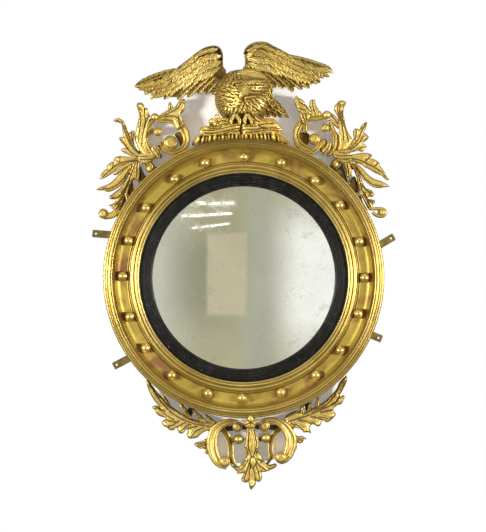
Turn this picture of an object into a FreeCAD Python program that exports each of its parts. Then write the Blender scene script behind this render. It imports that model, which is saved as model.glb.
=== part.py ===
import FreeCAD, Part
import math
import os

# Round convex mirror in a gilt frame with an eagle crest, foliate side ornaments and an apron.
# Millimetres. +Z up, the front faces -Y, the wall is the plane y = 0,
# and the origin is on the axis of the round frame in the wall plane.

# ---- driving dimensions -------------------------------------------------
RIM_R = 330.0            # outside of the gilt rim, 26 in across
RIM_IN = 304.0           # rim to cavetto joint
SIGHT_OUT = 272.0        # cavetto to sight moulding joint
SIGHT_IN = 246.0         # visible outside of the black slip
SLIP_IN = 216.5          # sight radius of the glass, 17 in across
SLIP_OUT = 251.5         # slip outside, in its rebate
GLASS_R = 228.0          # cut edge of the convex glass
GLASS_T = 4.0
GLASS_RISE = 24.7        # height of the crown over the edge
GLASS_EDGE_Y = -33.5     # front corner of the glass edge
BACK_Y = -2.5            # back face of the wooden frame
FACE_Y = -30.0           # joint between the back ring and the turned front
BACK_R = 322.0           # outside of the back ring
BACK_IN = 236.0          # inside of the back ring
BOARD_R = 241.5          # backboard planks
BOARD_T = 9.0
REBATE_R = 242.0
CREST_Y = -75.0          # highest line of the rim
BALL_R = 12.0
BALL_PCD_R = 284.0
BALL_N = 20
BALL_Y = -57.0
SEAT_Y = -47.0
STRAP_T = 2.5            # wall straps
STRAP_W = 18.0
STRAP_HOLE_R = 2.5
STRAP_LEN = 60.0         # pivot to wall hole
PIVOT_R = 2.4            # pivot screw shank
PLATE_T = 2.5            # iron plates let into the back
SCREW_R = 2.0
GAP = 0.15               # carved pieces stand this far off their neighbours
CLEAR_R = RIM_R + 0.3    # ornaments stay outside this radius

os.makedirs("parts", exist_ok=True)
V = FreeCAD.Vector
OUT = {}


def save(name, shape):
    solids = [s for s in shape.Solids if s.Volume > 60.0]
    if name.endswith("screws"):
        solids = shape.Solids
    solids.sort(key=lambda s: -s.Volume)
    shape = solids[0] if len(solids) == 1 else Part.makeCompound(solids)
    for s in solids:
        if not s.isValid():
            raise RuntimeError("bad solid in " + name)
    shape.exportStep("parts/%s.step" % name)
    OUT[name] = shape
    print("%-28s solids %2d  volume %10.0f mm3" % (name, len(solids), shape.Volume))


# ---- helpers ------------------------------------------------------------
def ring(profile):
    """Turn an (r, y) outline about the frame's axis."""
    pts = [V(r, y, 0) for r, y in profile]
    face = Part.Face(Part.makePolygon(pts + [pts[0]]))
    return face.revolve(V(0, 0, 0), V(0, 1, 0), 360)


def cyl(x, z, r, y_back, y_front):
    return Part.makeCylinder(r, y_back - y_front, V(x, y_front, z), V(0, 1, 0))


def cone(x, z, r_back, r_front, y_back, y_front):
    return Part.makeCone(r_front, r_back, y_back - y_front, V(x, y_front, z), V(0, 1, 0))


def prism(pts, y_back, y_front):
    """Straight-sided piece from an (x, z) outline."""
    p = [V(x, y_back, z) for x, z in pts]
    return Part.Face(Part.makePolygon(p + [p[0]])).extrude(V(0, y_front - y_back, 0))


def bar(p, q, width, y_back, y_front):
    """Flat bar with round ends between two (x, z) points."""
    dx, dz = q[0] - p[0], q[1] - p[1]
    n = math.hypot(dx, dz)
    ox, oz = -dz / n * width / 2.0, dx / n * width / 2.0
    body = prism([(p[0] + ox, p[1] + oz), (q[0] + ox, q[1] + oz),
                  (q[0] - ox, q[1] - oz), (p[0] - ox, p[1] - oz)], y_back, y_front)
    ends = [cyl(p[0], p[1], width / 2.0, y_back, y_front),
            cyl(q[0], q[1], width / 2.0, y_back, y_front)]
    return body.fuse(ends).removeSplitter()


def smooth(pts, per):
    """Points along a curve through the given rows."""
    n = len(pts)
    res = []
    for i in range(n - 1):
        a = pts[max(i - 1, 0)]
        b, c = pts[i], pts[i + 1]
        d = pts[min(i + 2, n - 1)]
        for k in range(per):
            t = k / float(per)
            row = []
            for j in range(len(b)):
                m0, m1 = (c[j] - a[j]) / 2.0, (d[j] - b[j]) / 2.0
                h = (2 * t ** 3 - 3 * t ** 2 + 1) * b[j] + (t ** 3 - 2 * t ** 2 + t) * m0
                h += (-2 * t ** 3 + 3 * t ** 2) * c[j] + (t ** 3 - t ** 2) * m1
                row.append(h)
            res.append(row)
    res.append(list(pts[-1]))
    return res


def strand(rows, y_back, y_front, per=4):
    """Carved strand: rows of (x, z, half width) along its middle line."""
    c = smooth(rows, per)
    left, right = [], []
    for i, (x, z, w) in enumerate(c):
        a, b = c[max(i - 1, 0)], c[min(i + 1, len(c) - 1)]
        dx, dz = b[0] - a[0], b[1] - a[1]
        n = math.hypot(dx, dz) or 1.0
        left.append((x - dz / n * w, z + dx / n * w))
        right.append((x + dz / n * w, z - dx / n * w))
    quads = []
    for i in range(len(c) - 1):
        quads.append((left[i], left[i + 1], right[i + 1], right[i]))
    outline = left + right[::-1]
    try:
        s = prism(outline, y_back, y_front)
        if s.isValid() and s.Volume > 0:
            return s
    except Part.OCCError:
        pass
    solids = [prism(q, y_back, y_front) for q in quads]
    return solids[0].fuse(solids[1:]).removeSplitter()


def joined(parts):
    s = parts[0].fuse(parts[1:]) if len(parts) > 1 else parts[0]
    return s


def less(shape, others):
    for o in others:
        if shape.BoundBox.intersect(o.BoundBox):
            shape = shape.cut(o)
    return shape


def wood_screw(x, z, r, head_r, length, y_head=BACK_Y):
    """Countersunk slotted screw driven from the back towards -Y."""
    s = cone(x, z, head_r, r, y_head, y_head - (head_r - r))
    s = s.fuse(cyl(x, z, r, y_head - (head_r - r), y_head - length))
    slot = Part.makeBox(head_r * 2.4, 0.8, 1.0, V(x - head_r * 1.2, y_head - 0.8, z - 0.5))
    return s.cut(slot)


def screw_hole(x, z, r, head_r, length, y_head=BACK_Y, play=0.08):
    s = cone(x, z, head_r + play, r + play, y_head, y_head - (head_r - r))
    s = s.fuse(cyl(x, z, r + play, y_head - (head_r - r), y_head - length - 0.5))
    return s.fuse(cyl(x, z, head_r + play, y_head + 4.0, y_head))


RING_CORE = Part.makeCylinder(CLEAR_R, 300, V(0, -200, 0), V(0, 1, 0))

# ---- round frame --------------------------------------------------------
back_ring = ring([(BACK_IN, FACE_Y), (BACK_R, FACE_Y), (BACK_R, BACK_Y), (REBATE_R, BACK_Y),
                  (REBATE_R, BACK_Y - 0.5 - BOARD_T), (BACK_IN, BACK_Y - 0.5 - BOARD_T)])

rim = ring([(RIM_IN + 0.1, FACE_Y), (RIM_IN + 0.1, -61.0), (306.5, -61.0), (307.5, -66.5), (309.0, -68.5),
            (310.0, -71.8), (312.0, -74.2), (314.5, CREST_Y), (317.0, -74.2), (319.0, -71.8),
            (320.0, -68.6), (321.5, -67.6), (323.0, -68.6), (324.0, -70.6), (326.0, -71.6),
            (328.0, -70.8), (329.4, -68.6), (RIM_R, -66.0), (RIM_R, -40.0), (326.0, -34.0),
            (324.0, FACE_Y)])

cavetto = ring([(SIGHT_OUT + 0.1, FACE_Y), (SIGHT_OUT + 0.1, SEAT_Y), (291.5, SEAT_Y), (295.0, -47.9),
                (298.0, -50.2), (300.4, -53.6), (302.2, -57.8), (303.2, -62.5), (RIM_IN - 0.1, -62.5),
                (RIM_IN - 0.1, FACE_Y)])

sight = ring([(252.0, FACE_Y), (SIGHT_OUT - 0.1, FACE_Y), (SIGHT_OUT - 0.1, -48.5), (269.5, -49.2),
              (268.0, -52.0), (266.6, -54.6), (264.4, -56.0), (262.0, -56.0), (259.8, -54.6),
              (258.6, -52.6), (257.6, -54.6), (255.6, -56.0), (253.2, -56.0), (251.2, -54.6),
              (250.2, -52.6), (249.2, -53.6), (247.4, -53.8), (SIGHT_IN, -52.6), (SIGHT_IN, -46.0),
              (252.0, -46.0)])

slip = ring([(229.0, FACE_Y), (SLIP_OUT, FACE_Y), (SLIP_OUT, -45.9), (244.0, -45.9), (242.2, -44.8),
             (240.4, -45.9), (237.6, -46.0), (235.8, -44.6), (234.0, -45.4), (231.2, -45.2),
             (229.4, -43.6), (227.6, -44.2), (224.8, -43.6), (223.0, -41.8), (221.2, -42.2),
             (218.6, -41.0), (SLIP_IN, -38.6), (SLIP_IN, -36.1), (229.0, -36.1)])

# Convex glass: two concentric domes and a ground edge.
sph = (GLASS_R ** 2 + GLASS_RISE ** 2) / (2.0 * GLASS_RISE)
crown = GLASS_EDGE_Y - GLASS_RISE
mid_r = GLASS_R * 0.5
mid_y = crown + sph - math.sqrt(sph ** 2 - mid_r ** 2)
front_arc = Part.Arc(V(0, crown, 0), V(mid_r, mid_y, 0), V(GLASS_R, GLASS_EDGE_Y, 0)).toShape()
back_arc = Part.Arc(V(GLASS_R, GLASS_EDGE_Y + GLASS_T, 0), V(mid_r, mid_y + GLASS_T, 0),
                    V(0, crown + GLASS_T, 0)).toShape()
edge = Part.LineSegment(V(GLASS_R, GLASS_EDGE_Y, 0), V(GLASS_R, GLASS_EDGE_Y + GLASS_T, 0)).toShape()
axis_line = Part.LineSegment(V(0, crown + GLASS_T, 0), V(0, crown, 0)).toShape()
glass = Part.Face(Part.Wire([front_arc, edge, back_arc, axis_line])).revolve(V(0, 0, 0), V(0, 1, 0), 360)
save("convex_mirror_glass", glass)
save("ebonised_slip", slip)

# Twenty turned balls, each on a peg in the cavetto.
balls, ball_holes = [], []
for k in range(BALL_N):
    a = math.radians(90.0 + 360.0 / BALL_N * k)
    x, z = BALL_PCD_R * math.cos(a), BALL_PCD_R * math.sin(a)
    b = Part.makeSphere(BALL_R, V(x, BALL_Y, z))
    b = b.cut(Part.makeBox(60, 60, 60, V(x - 30, SEAT_Y, z - 30)))
    b = b.fuse(cyl(x, z, 3.0, SEAT_Y + 8.0, SEAT_Y - 2.0))
    balls.append(b)
    ball_holes.append(cyl(x, z, 3.08, SEAT_Y + 8.4, SEAT_Y - 3.0))
cavetto = cavetto.cut(Part.makeCompound(ball_holes))
save("ball_studs", Part.makeCompound(balls))

# ---- flat iron plates let into the back, and their screws ---------------
Y0, Y1 = BACK_Y, BACK_Y - PLATE_T


def plate_set(bars, screws, name):
    shape = joined([bar(p, q, w, Y0, Y1) for p, q, w in bars]).removeSplitter()
    holes = [screw_hole(x, z, SCREW_R, 4.2, n) for x, z, n in screws]
    return shape.cut(Part.makeCompound(holes)), holes, \
        Part.makeCompound([wood_screw(x, z, SCREW_R, 4.2, n) for x, z, n in screws])


PLATES = {
    "left_bracket": (
        [((-188.5, 226.1), (-244.9, 294.2), 16.0), ((-244.9, 294.2), (-172, 317.7), 12.0), ((-244.9, 294.2), (-257.8, 262.5), 12.0)],
        [(-191.5, 229.6, 22.0), (-206.1, 247.5, 22.0), (-172, 317.7, 24.0), (-242.5, 308.3, 22.0), (-258.3, 262, 22.0)]),
    "right_bracket": (
        [((186.4, 228.4), (238.1, 295.4), 16.0), ((238.1, 295.4), (166.4, 324.8), 12.0), ((238.1, 295.4), (256.9, 262.5), 12.0)],
        [(189.2, 231.9, 22.0), (203.3, 250.3, 22.0), (166.4, 324.8, 24.0), (237.1, 309.5, 22.0), (257.3, 262, 22.0)]),
    "crest_plate": (
        [((-1.6, 276.6), (-1.6, 362.1), 20.0), ((-51, 294.9), (-51, 340), 14.0), ((47.7, 294.9), (47.7, 340), 14.0), ((-51, 294.9), (47.7, 294.9), 14.0)],
        [(-1.6, 280.1, 22.0), (-51, 295.9, 22.0), (47.7, 295.9, 22.0), (-51, 337.7, 26.0), (47.7, 337.7, 26.0), (-1.6, 342.4, 26.0), (-1.6, 359.8, 26.0)]),
    "apron_plate": (
        [((17.2, -282.7), (17.2, -442.5), 18.0), ((17.2, -353.2), (-73.3, -362.6), 12.0), ((17.2, -353.2), (108.8, -357.9), 12.0),
         ((-73.3, -362.6), (-135.6, -336.8), 12.0), ((108.8, -357.9), (160.5, -326.2), 12.0), ((-135.6, -336.8), (-114.4, -292.1), 14.0), ((160.5, -326.2), (140.5, -280.4), 14.0)],
        [(17.2, -286.2, 22.0), (17.2, -395.5, 26.0), (17.2, -437.8, 26.0), (-72.1, -376.7, 0.0), (111.2, -374.4, 0.0),
         (-133.2, -335.8, 20.0), (158.6, -325.5, 20.0), (-116.1, -295.4, 22.0), (141.9, -283.6, 22.0), (-69.3, -361.7, 22.0), (105, -357, 22.0)]),
}
plates, plate_cuts = {}, []
for name, (bars, screws) in PLATES.items():
    screws = [s for s in screws if s[2] > 0]
    shape, holes, fasteners = plate_set(bars, screws, name)
    plates[name] = shape
    plate_cuts += holes
    # the housing in the frame's back follows the plate with a little play
    housing = joined([bar(p, q, w + 0.4, Y0 + 1.0, Y1) for p, q, w in bars])
    plate_cuts.append(housing)
    save(name, shape)
    save(name + "_screws", fasteners)

# ---- wall straps and their pivots ---------------------------------------
# name: pivot (x, z), direction of the strap in degrees from +X towards +Z
STRAPS = {
    "wall_strap_upper_left": ((-291.5, 99.7), 175.6),
    "wall_strap_lower_left": ((-249.0, -179.3), 208.0),
    "wall_strap_upper_right": ((298.7, 62.8), 30.6),
    "wall_strap_lower_right": ((264.9, -120.9), -22.0),
}
pivots, pivot_holes = [], []
for name, ((px, pz), deg) in STRAPS.items():
    c, s = math.cos(math.radians(deg)), math.sin(math.radians(deg))
    hw = STRAP_W / 2.0 - 3.0

    def at(u, v):
        return (px + c * u - s * v, pz + s * u + c * v)

    # round end at the pivot, clipped corners at the wall end
    tip = STRAP_LEN + 8.5
    w = STRAP_W / 2.0
    outline = [at(0, w), at(tip - 2.0, w), at(tip, w - 2.0), at(tip, -w + 2.0), at(tip - 2.0, -w), at(0, -w)]
    strap = prism(outline, 0.0, -STRAP_T).fuse(cyl(px, pz, w, 0.0, -STRAP_T)).removeSplitter()
    hx, hz = at(STRAP_LEN, 0)
    strap = strap.cut(cyl(hx, hz, STRAP_HOLE_R, 1.0, -STRAP_T - 1.0))
    # countersunk pivot hole, running clearance 0.06 mm round the screw
    strap = strap.cut(cone(px, pz, 4.9 + 0.06, PIVOT_R + 0.06, 0.0, -2.5))
    save(name, strap)
    sc = cone(px, pz, 4.9, PIVOT_R, -0.05, -2.55)
    sc = sc.fuse(cyl(px, pz, PIVOT_R, -2.55, -24.0))
    sc = sc.cut(Part.makeBox(12, 0.8, 1.1, V(px - 6, -0.85, pz - 0.55)))
    pivots.append(sc)
    pivot_holes.append(cyl(px, pz, PIVOT_R + 0.06, 1.0, -24.5))
save("strap_pivot_screws", Part.makeCompound(pivots))

# ---- screws that hold the turned rim on the back ring -------------------
rim_screws, rim_holes = [], []
for k in range(12):
    a = math.radians(24.0 + 30.0 * k)
    x, z = 312.0 * math.cos(a), 312.0 * math.sin(a)
    rim_screws.append(wood_screw(x, z, 2.4, 4.8, 44.0))
    rim_holes.append(screw_hole(x, z, 2.4, 4.8, 44.0))
save("rim_screws", Part.makeCompound(rim_screws))

# ---- backboard of three planks ------------------------------------------
disc = Part.makeCylinder(BOARD_R, BOARD_T, V(0, BACK_Y - 0.5 - BOARD_T, 0), V(0, 1, 0))
board_screws, board_holes = [], []
for a in (20, 47, 74, 106, 133, 160, 200, 227, 254, 286, 313, 340):
    x, z = 239.2 * math.cos(math.radians(a)), 239.2 * math.sin(math.radians(a))
    board_screws.append(wood_screw(x, z, 1.4, 2.6, 18.0, BACK_Y - 0.5))
    board_holes.append(screw_hole(x, z, 1.4, 2.6, 18.0, BACK_Y - 0.5))
cuts = Part.makeCompound(board_holes)
for name, z0, z1 in (("backboard_plank_upper", 82.2, 260.0), ("backboard_plank_middle", -79.8, 81.8),
                     ("backboard_plank_lower", -260.0, -80.2)):
    save(name, disc.common(Part.makeBox(520, 40, z1 - z0, V(-260, -30, z0))).cut(cuts))
save("backboard_screws", Part.makeCompound(board_screws))

back_ring = back_ring.cut(Part.makeCompound(rim_holes)).cut(Part.makeCompound(pivot_holes)).cut(cuts)
for c in plate_cuts:
    back_ring = back_ring.cut(c)
save("frame_back_ring", back_ring)
save("outer_reeded_rim", rim.cut(Part.makeCompound(rim_holes)))
save("cavetto_ring", cavetto)
save("sight_moulding", sight)

# Softwood blocks glued round the inside, holding the glass against the slip.
blocks = []
for k in range(8):
    a = 22.5 + 45.0 * k
    b = Part.makeBox(9.5, 15.0, 44.0, V(226.0, -29.4 + 0.0, -22.0))
    b.rotate(V(0, 0, 0), V(0, 1, 0), -a)
    blocks.append(b)
inner_wall = Part.makeCylinder(BACK_IN - 0.1, 60, V(0, -50, 0), V(0, 1, 0))
blocks = [b.common(inner_wall) for b in blocks]
save("glazing_blocks", Part.makeCompound(blocks))

# ---- carved ornaments ---------------------------------------------------
# Each row of a strand is (x, z, half width); a boss is (x, z, radius).
ORN_BACK = BACK_Y - PLATE_T


def carve(strands, bosses, outlines=()):
    parts = [strand(rows, yb, yf) for rows, yb, yf in strands]
    parts += [cyl(x, z, r, yb, yf) for x, z, r, yb, yf in bosses]
    parts += [prism(o, yb, yf) for o, yb, yf in outlines]
    return joined(parts)


left_scroll = carve(
    [([(-209.6, 377.6, 8), (-196.7, 374.1, 8), (-177.9, 372.9, 8.5), (-159.1, 368.2, 9.9), (-145, 354.1, 10.8),
      (-137.2, 335.3, 9.9), (-137.5, 316.5, 8.9), (-147.3, 302.4, 8.5), (-163.8, 295.4, 7.5), (-180.2, 298.9, 7.1),
      (-187.3, 309.5, 6.1)], ORN_BACK, -38.0),
     ([(-213.1, 372.9, 6.1), (-224.9, 360, 6.6), (-231.5, 344.7, 6.6), (-232.9, 325.9, 6.6), (-227.2, 307.1, 7.1),
      (-216.7, 293, 7.1), (-203.7, 283.6, 4.7)], ORN_BACK, -34.0),
     ([(-229.6, 325.9, 4.7), (-223.7, 340, 4.7), (-213.1, 345.9, 5.2), (-203.7, 344.7, 5.6)], ORN_BACK, -32.0),
     ([(-215.5, 307.1, 5.2), (-203.7, 295.4, 7.5), (-192, 282.5, 3.3)], ORN_BACK, -30.0),
     ([(-194.3, 383.5, 6.1), (-173.2, 389.4, 8.5), (-156.7, 398.8, 9.9), (-145, 410.5, 8.5), (-137.9, 421.4, 2.4)], ORN_BACK, -32.0),
     ([(-170.8, 394.1, 5.6), (-169.7, 403.5, 5.2), (-173.7, 413.8, 2.4)], ORN_BACK, -28.0)],
    [(-172, 317.7, 17.4) + (ORN_BACK, -46.0), (-203.7, 344.7, 10.6) + (ORN_BACK, -38.0), (-210.1, 378.8, 9.4) + (ORN_BACK, -42.0)])

right_scroll = carve(
    [([(194.6, 382.3, 8), (174.6, 377.6, 7.1), (153.5, 374.1, 8), (137, 363.5, 9.4), (127.1, 347.1, 9.4),
      (124.8, 328.3, 9.4), (131.8, 309.5, 9.4), (146.4, 297.7, 8.5), (162.9, 296.3, 7.5), (177, 303.4, 7.1),
      (181.2, 315.4, 6.1)], ORN_BACK, -38.0),
     ([(201.6, 377.6, 6.1), (212.2, 363.5, 6.6), (220.7, 344.7, 6.6), (223, 323.6, 6.6), (218.3, 307.1, 7.1),
      (207.5, 295.4, 7.1), (195.8, 287.2, 4.7)], ORN_BACK, -34.0),
     ([(219.3, 330.6, 4.7), (213.4, 343.6, 4.7), (204, 351.8, 5.2), (193.4, 354.1, 5.6)], ORN_BACK, -32.0),
     ([(204.2, 328.3, 4.7), (198.1, 309.5, 7.5), (192.2, 291.6, 6.1)], ORN_BACK, -30.0),
     ([(169.9, 383.5, 7.1), (153.5, 394.1, 10.3), (139.4, 403.5, 10.8), (130, 415.2, 8.5), (124.3, 427.5, 1.9)], ORN_BACK, -32.0),
     ([(171.1, 389.4, 8.5), (166.6, 403.5, 7.1), (162.9, 419.9, 2.8)], ORN_BACK, -28.0)],
    [(166.4, 324.8, 16) + (ORN_BACK, -46.0), (192.5, 354.1, 10.8) + (ORN_BACK, -38.0), (195.8, 383.5, 9.4) + (ORN_BACK, -42.0)])

left_upper = carve(
    [([(-229.6, 293, 9.4), (-242.5, 316.5, 14.1), (-244.9, 347.1, 11.8), (-240.2, 375.3, 9.9), (-242.5, 396.4, 10.8),
      (-243.7, 412, 7.1)], ORN_BACK, -36.0),
     ([(-235.5, 342.4, 4.7), (-230.5, 372.9, 5.6), (-227.7, 400.2, 2.8)], ORN_BACK, -32.0),
     ([(-222.5, 286, 4.7), (-243.7, 291.9, 10.8), (-264.8, 307.1, 14.1), (-276.6, 328.3, 12.7), (-283.6, 350.6, 9.9),
      (-291.9, 368.2, 7.1), (-307.6, 372.9, 1.6)], ORN_BACK, -30.0),
     ([(-267.2, 311.8, 7.1), (-288.3, 325.9, 7.1), (-295.4, 332.1, 2.8)], ORN_BACK, -24.0),
     ([(-253.1, 290.7, 7.1), (-276.6, 300.1, 8), (-289.3, 304.8, 2.8)], ORN_BACK, -24.0),
     ([(-257.8, 309.5, 7.1), (-262.5, 333, 7.5), (-263.4, 348, 5.6)], ORN_BACK, -26.0)], [])

right_upper = carve(
    [([(221.6, 293, 8.5), (233.4, 318.9, 11.8), (235.7, 347.1, 12.2), (228.7, 375.3, 12.7), (225.4, 398.8, 12.2),
      (228.7, 416.2, 9.9)], ORN_BACK, -36.0),
     ([(209.9, 289.5, 4.2), (233.4, 294.2, 9.4), (256.9, 307.1, 10.8), (271, 325.9, 9.9), (280.4, 349.4, 7.5),
      (289.3, 367.8, 1.6)], ORN_BACK, -30.0),
     ([(259.2, 309.5, 6.1), (263, 330.6, 7.1), (262.7, 350.9, 6.1)], ORN_BACK, -26.0),
     ([(263.9, 309.5, 6.1), (281.5, 318.9, 7.5), (295.4, 333, 4.7)], ORN_BACK, -24.0),
     ([(249.8, 298.9, 6.1), (271, 301.3, 7.1), (289.3, 310.9, 3.8)], ORN_BACK, -24.0)], [])

left_lower = carve(
    [([(-236.6, 278.9, 7.1), (-262.5, 275.4, 10.8), (-286, 271.9, 14.1), (-309.5, 256.9, 11.8), (-328.3, 242.8, 7.1),
      (-341.5, 232.9, 1.6)], ORN_BACK, -30.0),
     ([(-276.6, 276.6, 7.1), (-295.4, 281.8, 7.1), (-307.1, 283.2, 3.3)], ORN_BACK, -26.0),
     ([(-248.4, 274.2, 6.1), (-264.8, 253.1, 9.4), (-286, 233.4, 11.8), (-309.5, 216.9, 10.3), (-330.6, 208.9, 5.6),
      (-347.6, 207, 1.6)], ORN_BACK, -34.0),
     ([(-250.7, 269.5, 8.5), (-261.3, 241.3, 10.3), (-276.6, 210.8, 12.7), (-289.5, 187.3, 12.2),
      (-297.7, 169.7, 11.3), (-311.8, 155.6, 9.4), (-328.3, 150.9, 9.4)], ORN_BACK, -30.0),
     ([(-293, 194.3, 8.5), (-307.1, 187.3, 6.1), (-317.5, 184.9, 2.4)], ORN_BACK, -24.0),
     ([(-297.7, 175.5, 7.5), (-309.5, 171.3, 5.6), (-319.8, 171.3, 2.4)], ORN_BACK, -24.0),
     ([(-241.3, 276.6, 6.1), (-240.4, 253.1, 6.1), (-247.5, 229.6, 3.8)], ORN_BACK, -26.0),
     ([(-236.6, 276.6, 5.6), (-224.9, 271.9, 7.1), (-219.3, 260.1, 7.1)], ORN_BACK, -30.0)],
    [(-330.6, 150.6, 12.2) + (ORN_BACK, -34.0), (-220.7, 257.3, 11.3) + (ORN_BACK, -34.0)])

right_lower = carve(
    [([(233.4, 286, 5.6), (261.6, 285.1, 9.4), (287.4, 278.9, 14.1), (310.9, 263.4, 11.8), (327.4, 247.5, 7.1),
      (340, 231.9, 1.6)], ORN_BACK, -30.0),
     ([(273.3, 284.8, 7.1), (287.4, 289.3, 6.6), (301, 292.1, 3.3)], ORN_BACK, -26.0),
     ([(247.5, 278.9, 6.1), (266.3, 256.4, 9.4), (287.4, 233.8, 10.8), (308.6, 218.8, 8.5), (327.4, 213.1, 5.6),
      (345.7, 211.7, 1.6)], ORN_BACK, -34.0),
     ([(249.8, 274.2, 8), (265.1, 241.3, 9.4), (276.8, 210.8, 9.9), (288.3, 187.3, 10.8), (301.5, 168.5, 10.3),
      (315.6, 157.7, 9.4)], ORN_BACK, -30.0),
     ([(282.7, 210.8, 7.1), (296.8, 197.6, 6.1), (309, 192.9, 2.4)], ORN_BACK, -24.0),
     ([(289.8, 187.3, 7.1), (301.5, 178.4, 5.6), (310.9, 176.5, 2.4)], ORN_BACK, -24.0),
     ([(241.6, 278.9, 6.1), (246.5, 253.1, 6.6), (250.7, 224.9, 2.8)], ORN_BACK, -26.0),
     ([(233.4, 283.6, 5.2), (223, 279.4, 7.1), (216.9, 268.6, 7.1)], ORN_BACK, -30.0)],
    [(326.4, 153.9, 12.2) + (ORN_BACK, -34.0), (216, 267.2, 10.8) + (ORN_BACK, -34.0)])

left_scroll = less(left_scroll, [RING_CORE])
right_scroll = less(right_scroll, [RING_CORE])
left_upper = less(left_upper, [RING_CORE, left_scroll])
right_upper = less(right_upper, [RING_CORE, right_scroll])
left_lower = less(left_lower, [RING_CORE, left_scroll, left_upper])
right_lower = less(right_lower, [RING_CORE, right_scroll, right_upper])

apron_pendant = carve(
    [([(17.2, -349.9, 10.3), (17.2, -367.3, 12.7), (18.3, -390.8, 16), (19.5, -409.6, 16.4), (20.7, -426.1, 19.7),
      (19.5, -447.2, 18.8), (18.8, -468.4, 14.1), (18.3, -484.8, 9.4), (18.3, -499.8, 1.9)], ORN_BACK, -42.0),
     ([(17.9, -357.9, 4.7), (18.6, -395.5, 6.6), (19.5, -433.1, 7.5), (18.6, -470.7, 5.6), (18.3, -489.5, 3.3)], -40.0, -50.0),
     ([(12.5, -435.5, 9.4), (-4, -444.9, 9.9), (-19, -458, 3.8)], ORN_BACK, -34.0),
     ([(26.6, -435.5, 9.4), (47.7, -443.7, 9.4), (69.3, -445.8, 3.3)], ORN_BACK, -34.0),
     ([(13.6, -451.9, 8.5), (5.4, -466, 8), (-3.5, -477.8, 3.8)], ORN_BACK, -34.0),
     ([(24.2, -451.9, 8.5), (32.7, -466, 8), (39.7, -477.8, 3.8)], ORN_BACK, -34.0)], [])

apron_left_scroll = carve(
    [([(-13.4, -343.8, 5.6), (-34.5, -341.5, 7.1), (-54.5, -348.5, 8.5), (-67.4, -362.6, 9.4), (-72.6, -381.4, 9.9),
      (-72.6, -404.9, 9.9), (-66, -425.1, 9.4), (-54.5, -439.2, 9.4)], ORN_BACK, -38.0),
     ([(-53.3, -355.6, 5.2), (-39.2, -374.4, 6.1), (-31.3, -395.5, 6.6), (-29.8, -419, 6.1), (-25.1, -437.8, 5.6),
      (-15.3, -449.6, 3.3)], ORN_BACK, -30.0),
     ([(-32.2, -388.5, 4.7), (-18.1, -382.6, 6.1), (-6.3, -381.4, 7.1)], ORN_BACK, -30.0),
     ([(-76.8, -404.9, 8.5), (-95.6, -396.9, 7.5), (-114.4, -391.7, 1.9)], ORN_BACK, -26.0),
     ([(-72.1, -419, 7.1), (-81.5, -416.7, 6.1), (-89.5, -413.4, 2.4)], ORN_BACK, -26.0)],
    [(-43.9, -435.5, 14.6) + (ORN_BACK, -44.0), (-13.4, -351.8, 12.2) + (ORN_BACK, -44.0), (-12.2, -381.9, 12.2) + (ORN_BACK, -42.0)])

apron_right_scroll = carve(
    [([(46.5, -338.2, 5.6), (68.9, -337.7, 7.1), (87.7, -344.7, 8.5), (102.7, -359.3, 9.4), (112.1, -378.1, 9.9),
      (114, -397.9, 9.4), (107.9, -416.7, 9.4), (97.1, -429.3, 8.9)], ORN_BACK, -38.0),
     ([(75.9, -365, 6.6), (66.5, -380, 5.6), (63.2, -402.6, 5.6), (64.2, -421.4, 5.6), (56.2, -440.2, 3.3)], ORN_BACK, -30.0),
     ([(65.6, -381.4, 5.2), (54.8, -379.1, 6.1), (45.4, -379.1, 7.1)], ORN_BACK, -30.0),
     ([(117.3, -395.5, 8), (132.3, -385.2, 7.1), (147.8, -377.6, 1.9)], ORN_BACK, -26.0),
     ([(85.3, -353.2, 5.2), (82, -360.3, 5.2), (75.9, -365, 5.6)], ORN_BACK, -28.0),
     ([(86.5, -428.4, 7.1), (73.6, -434.5, 6.1), (59.5, -438.7, 4.7)], ORN_BACK, -30.0)],
    [(86.7, -427, 14.6) + (ORN_BACK, -44.0), (48.6, -350.9, 13.2) + (ORN_BACK, -44.0), (52.4, -378.6, 12.2) + (ORN_BACK, -42.0)])

apron_left_spray = carve(
    [([(-65.1, -349.7, 9.4), (-90.9, -350.9, 12.2), (-114.4, -346.2, 14.6), (-140.3, -336.8, 16.4),
      (-163.8, -321.7, 16.4), (-184.9, -301.5, 15), (-202.8, -278.9, 11.8), (-217.8, -258.3, 7.5),
      (-229.1, -240.4, 1.9)], ORN_BACK, -32.0),
     ([(-69.8, -348.5, 3.3), (-114.4, -343.8, 4.2), (-161.4, -320.3, 4.2), (-201.4, -281.3, 3.3)], -30.0, -38.0),
     ([(-189.6, -313.3, 8.5), (-204.7, -311.8, 8), (-216.9, -304.8, 2.8)], ORN_BACK, -26.0),
     ([(-177.9, -324.1, 8), (-192, -328.3, 6.6), (-202.3, -325.9, 2.8)], ORN_BACK, -26.0),
     ([(-161.4, -332.1, 9.4), (-177.9, -340.5, 8.5), (-191.1, -340.5, 4.2)], ORN_BACK, -26.0),
     ([(-147.3, -339.1, 9.4), (-160, -351.8, 8.5), (-171.8, -359.8, 4.7)], ORN_BACK, -26.0),
     ([(-130.9, -346.2, 9.4), (-140.3, -357.9, 8), (-148.8, -366.8, 4.2)], ORN_BACK, -26.0),
     ([(-102.7, -355.6, 9.4), (-115.4, -367.3, 9.4), (-127.6, -378.1, 5.2)], ORN_BACK, -26.0),
     ([(-135.6, -325, 6.1), (-145.9, -308.6, 7.1), (-153, -293.5, 2.4)], ORN_BACK, -26.0),
     ([(-102.7, -334.4, 6.6), (-112.1, -322.7, 7.1), (-121.5, -312.8, 2.4)], ORN_BACK, -26.0),
     ([(-74.5, -341.5, 6.6), (-86.2, -331.1, 6.6), (-95.6, -325, 2.4)], ORN_BACK, -26.0)], [])

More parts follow.
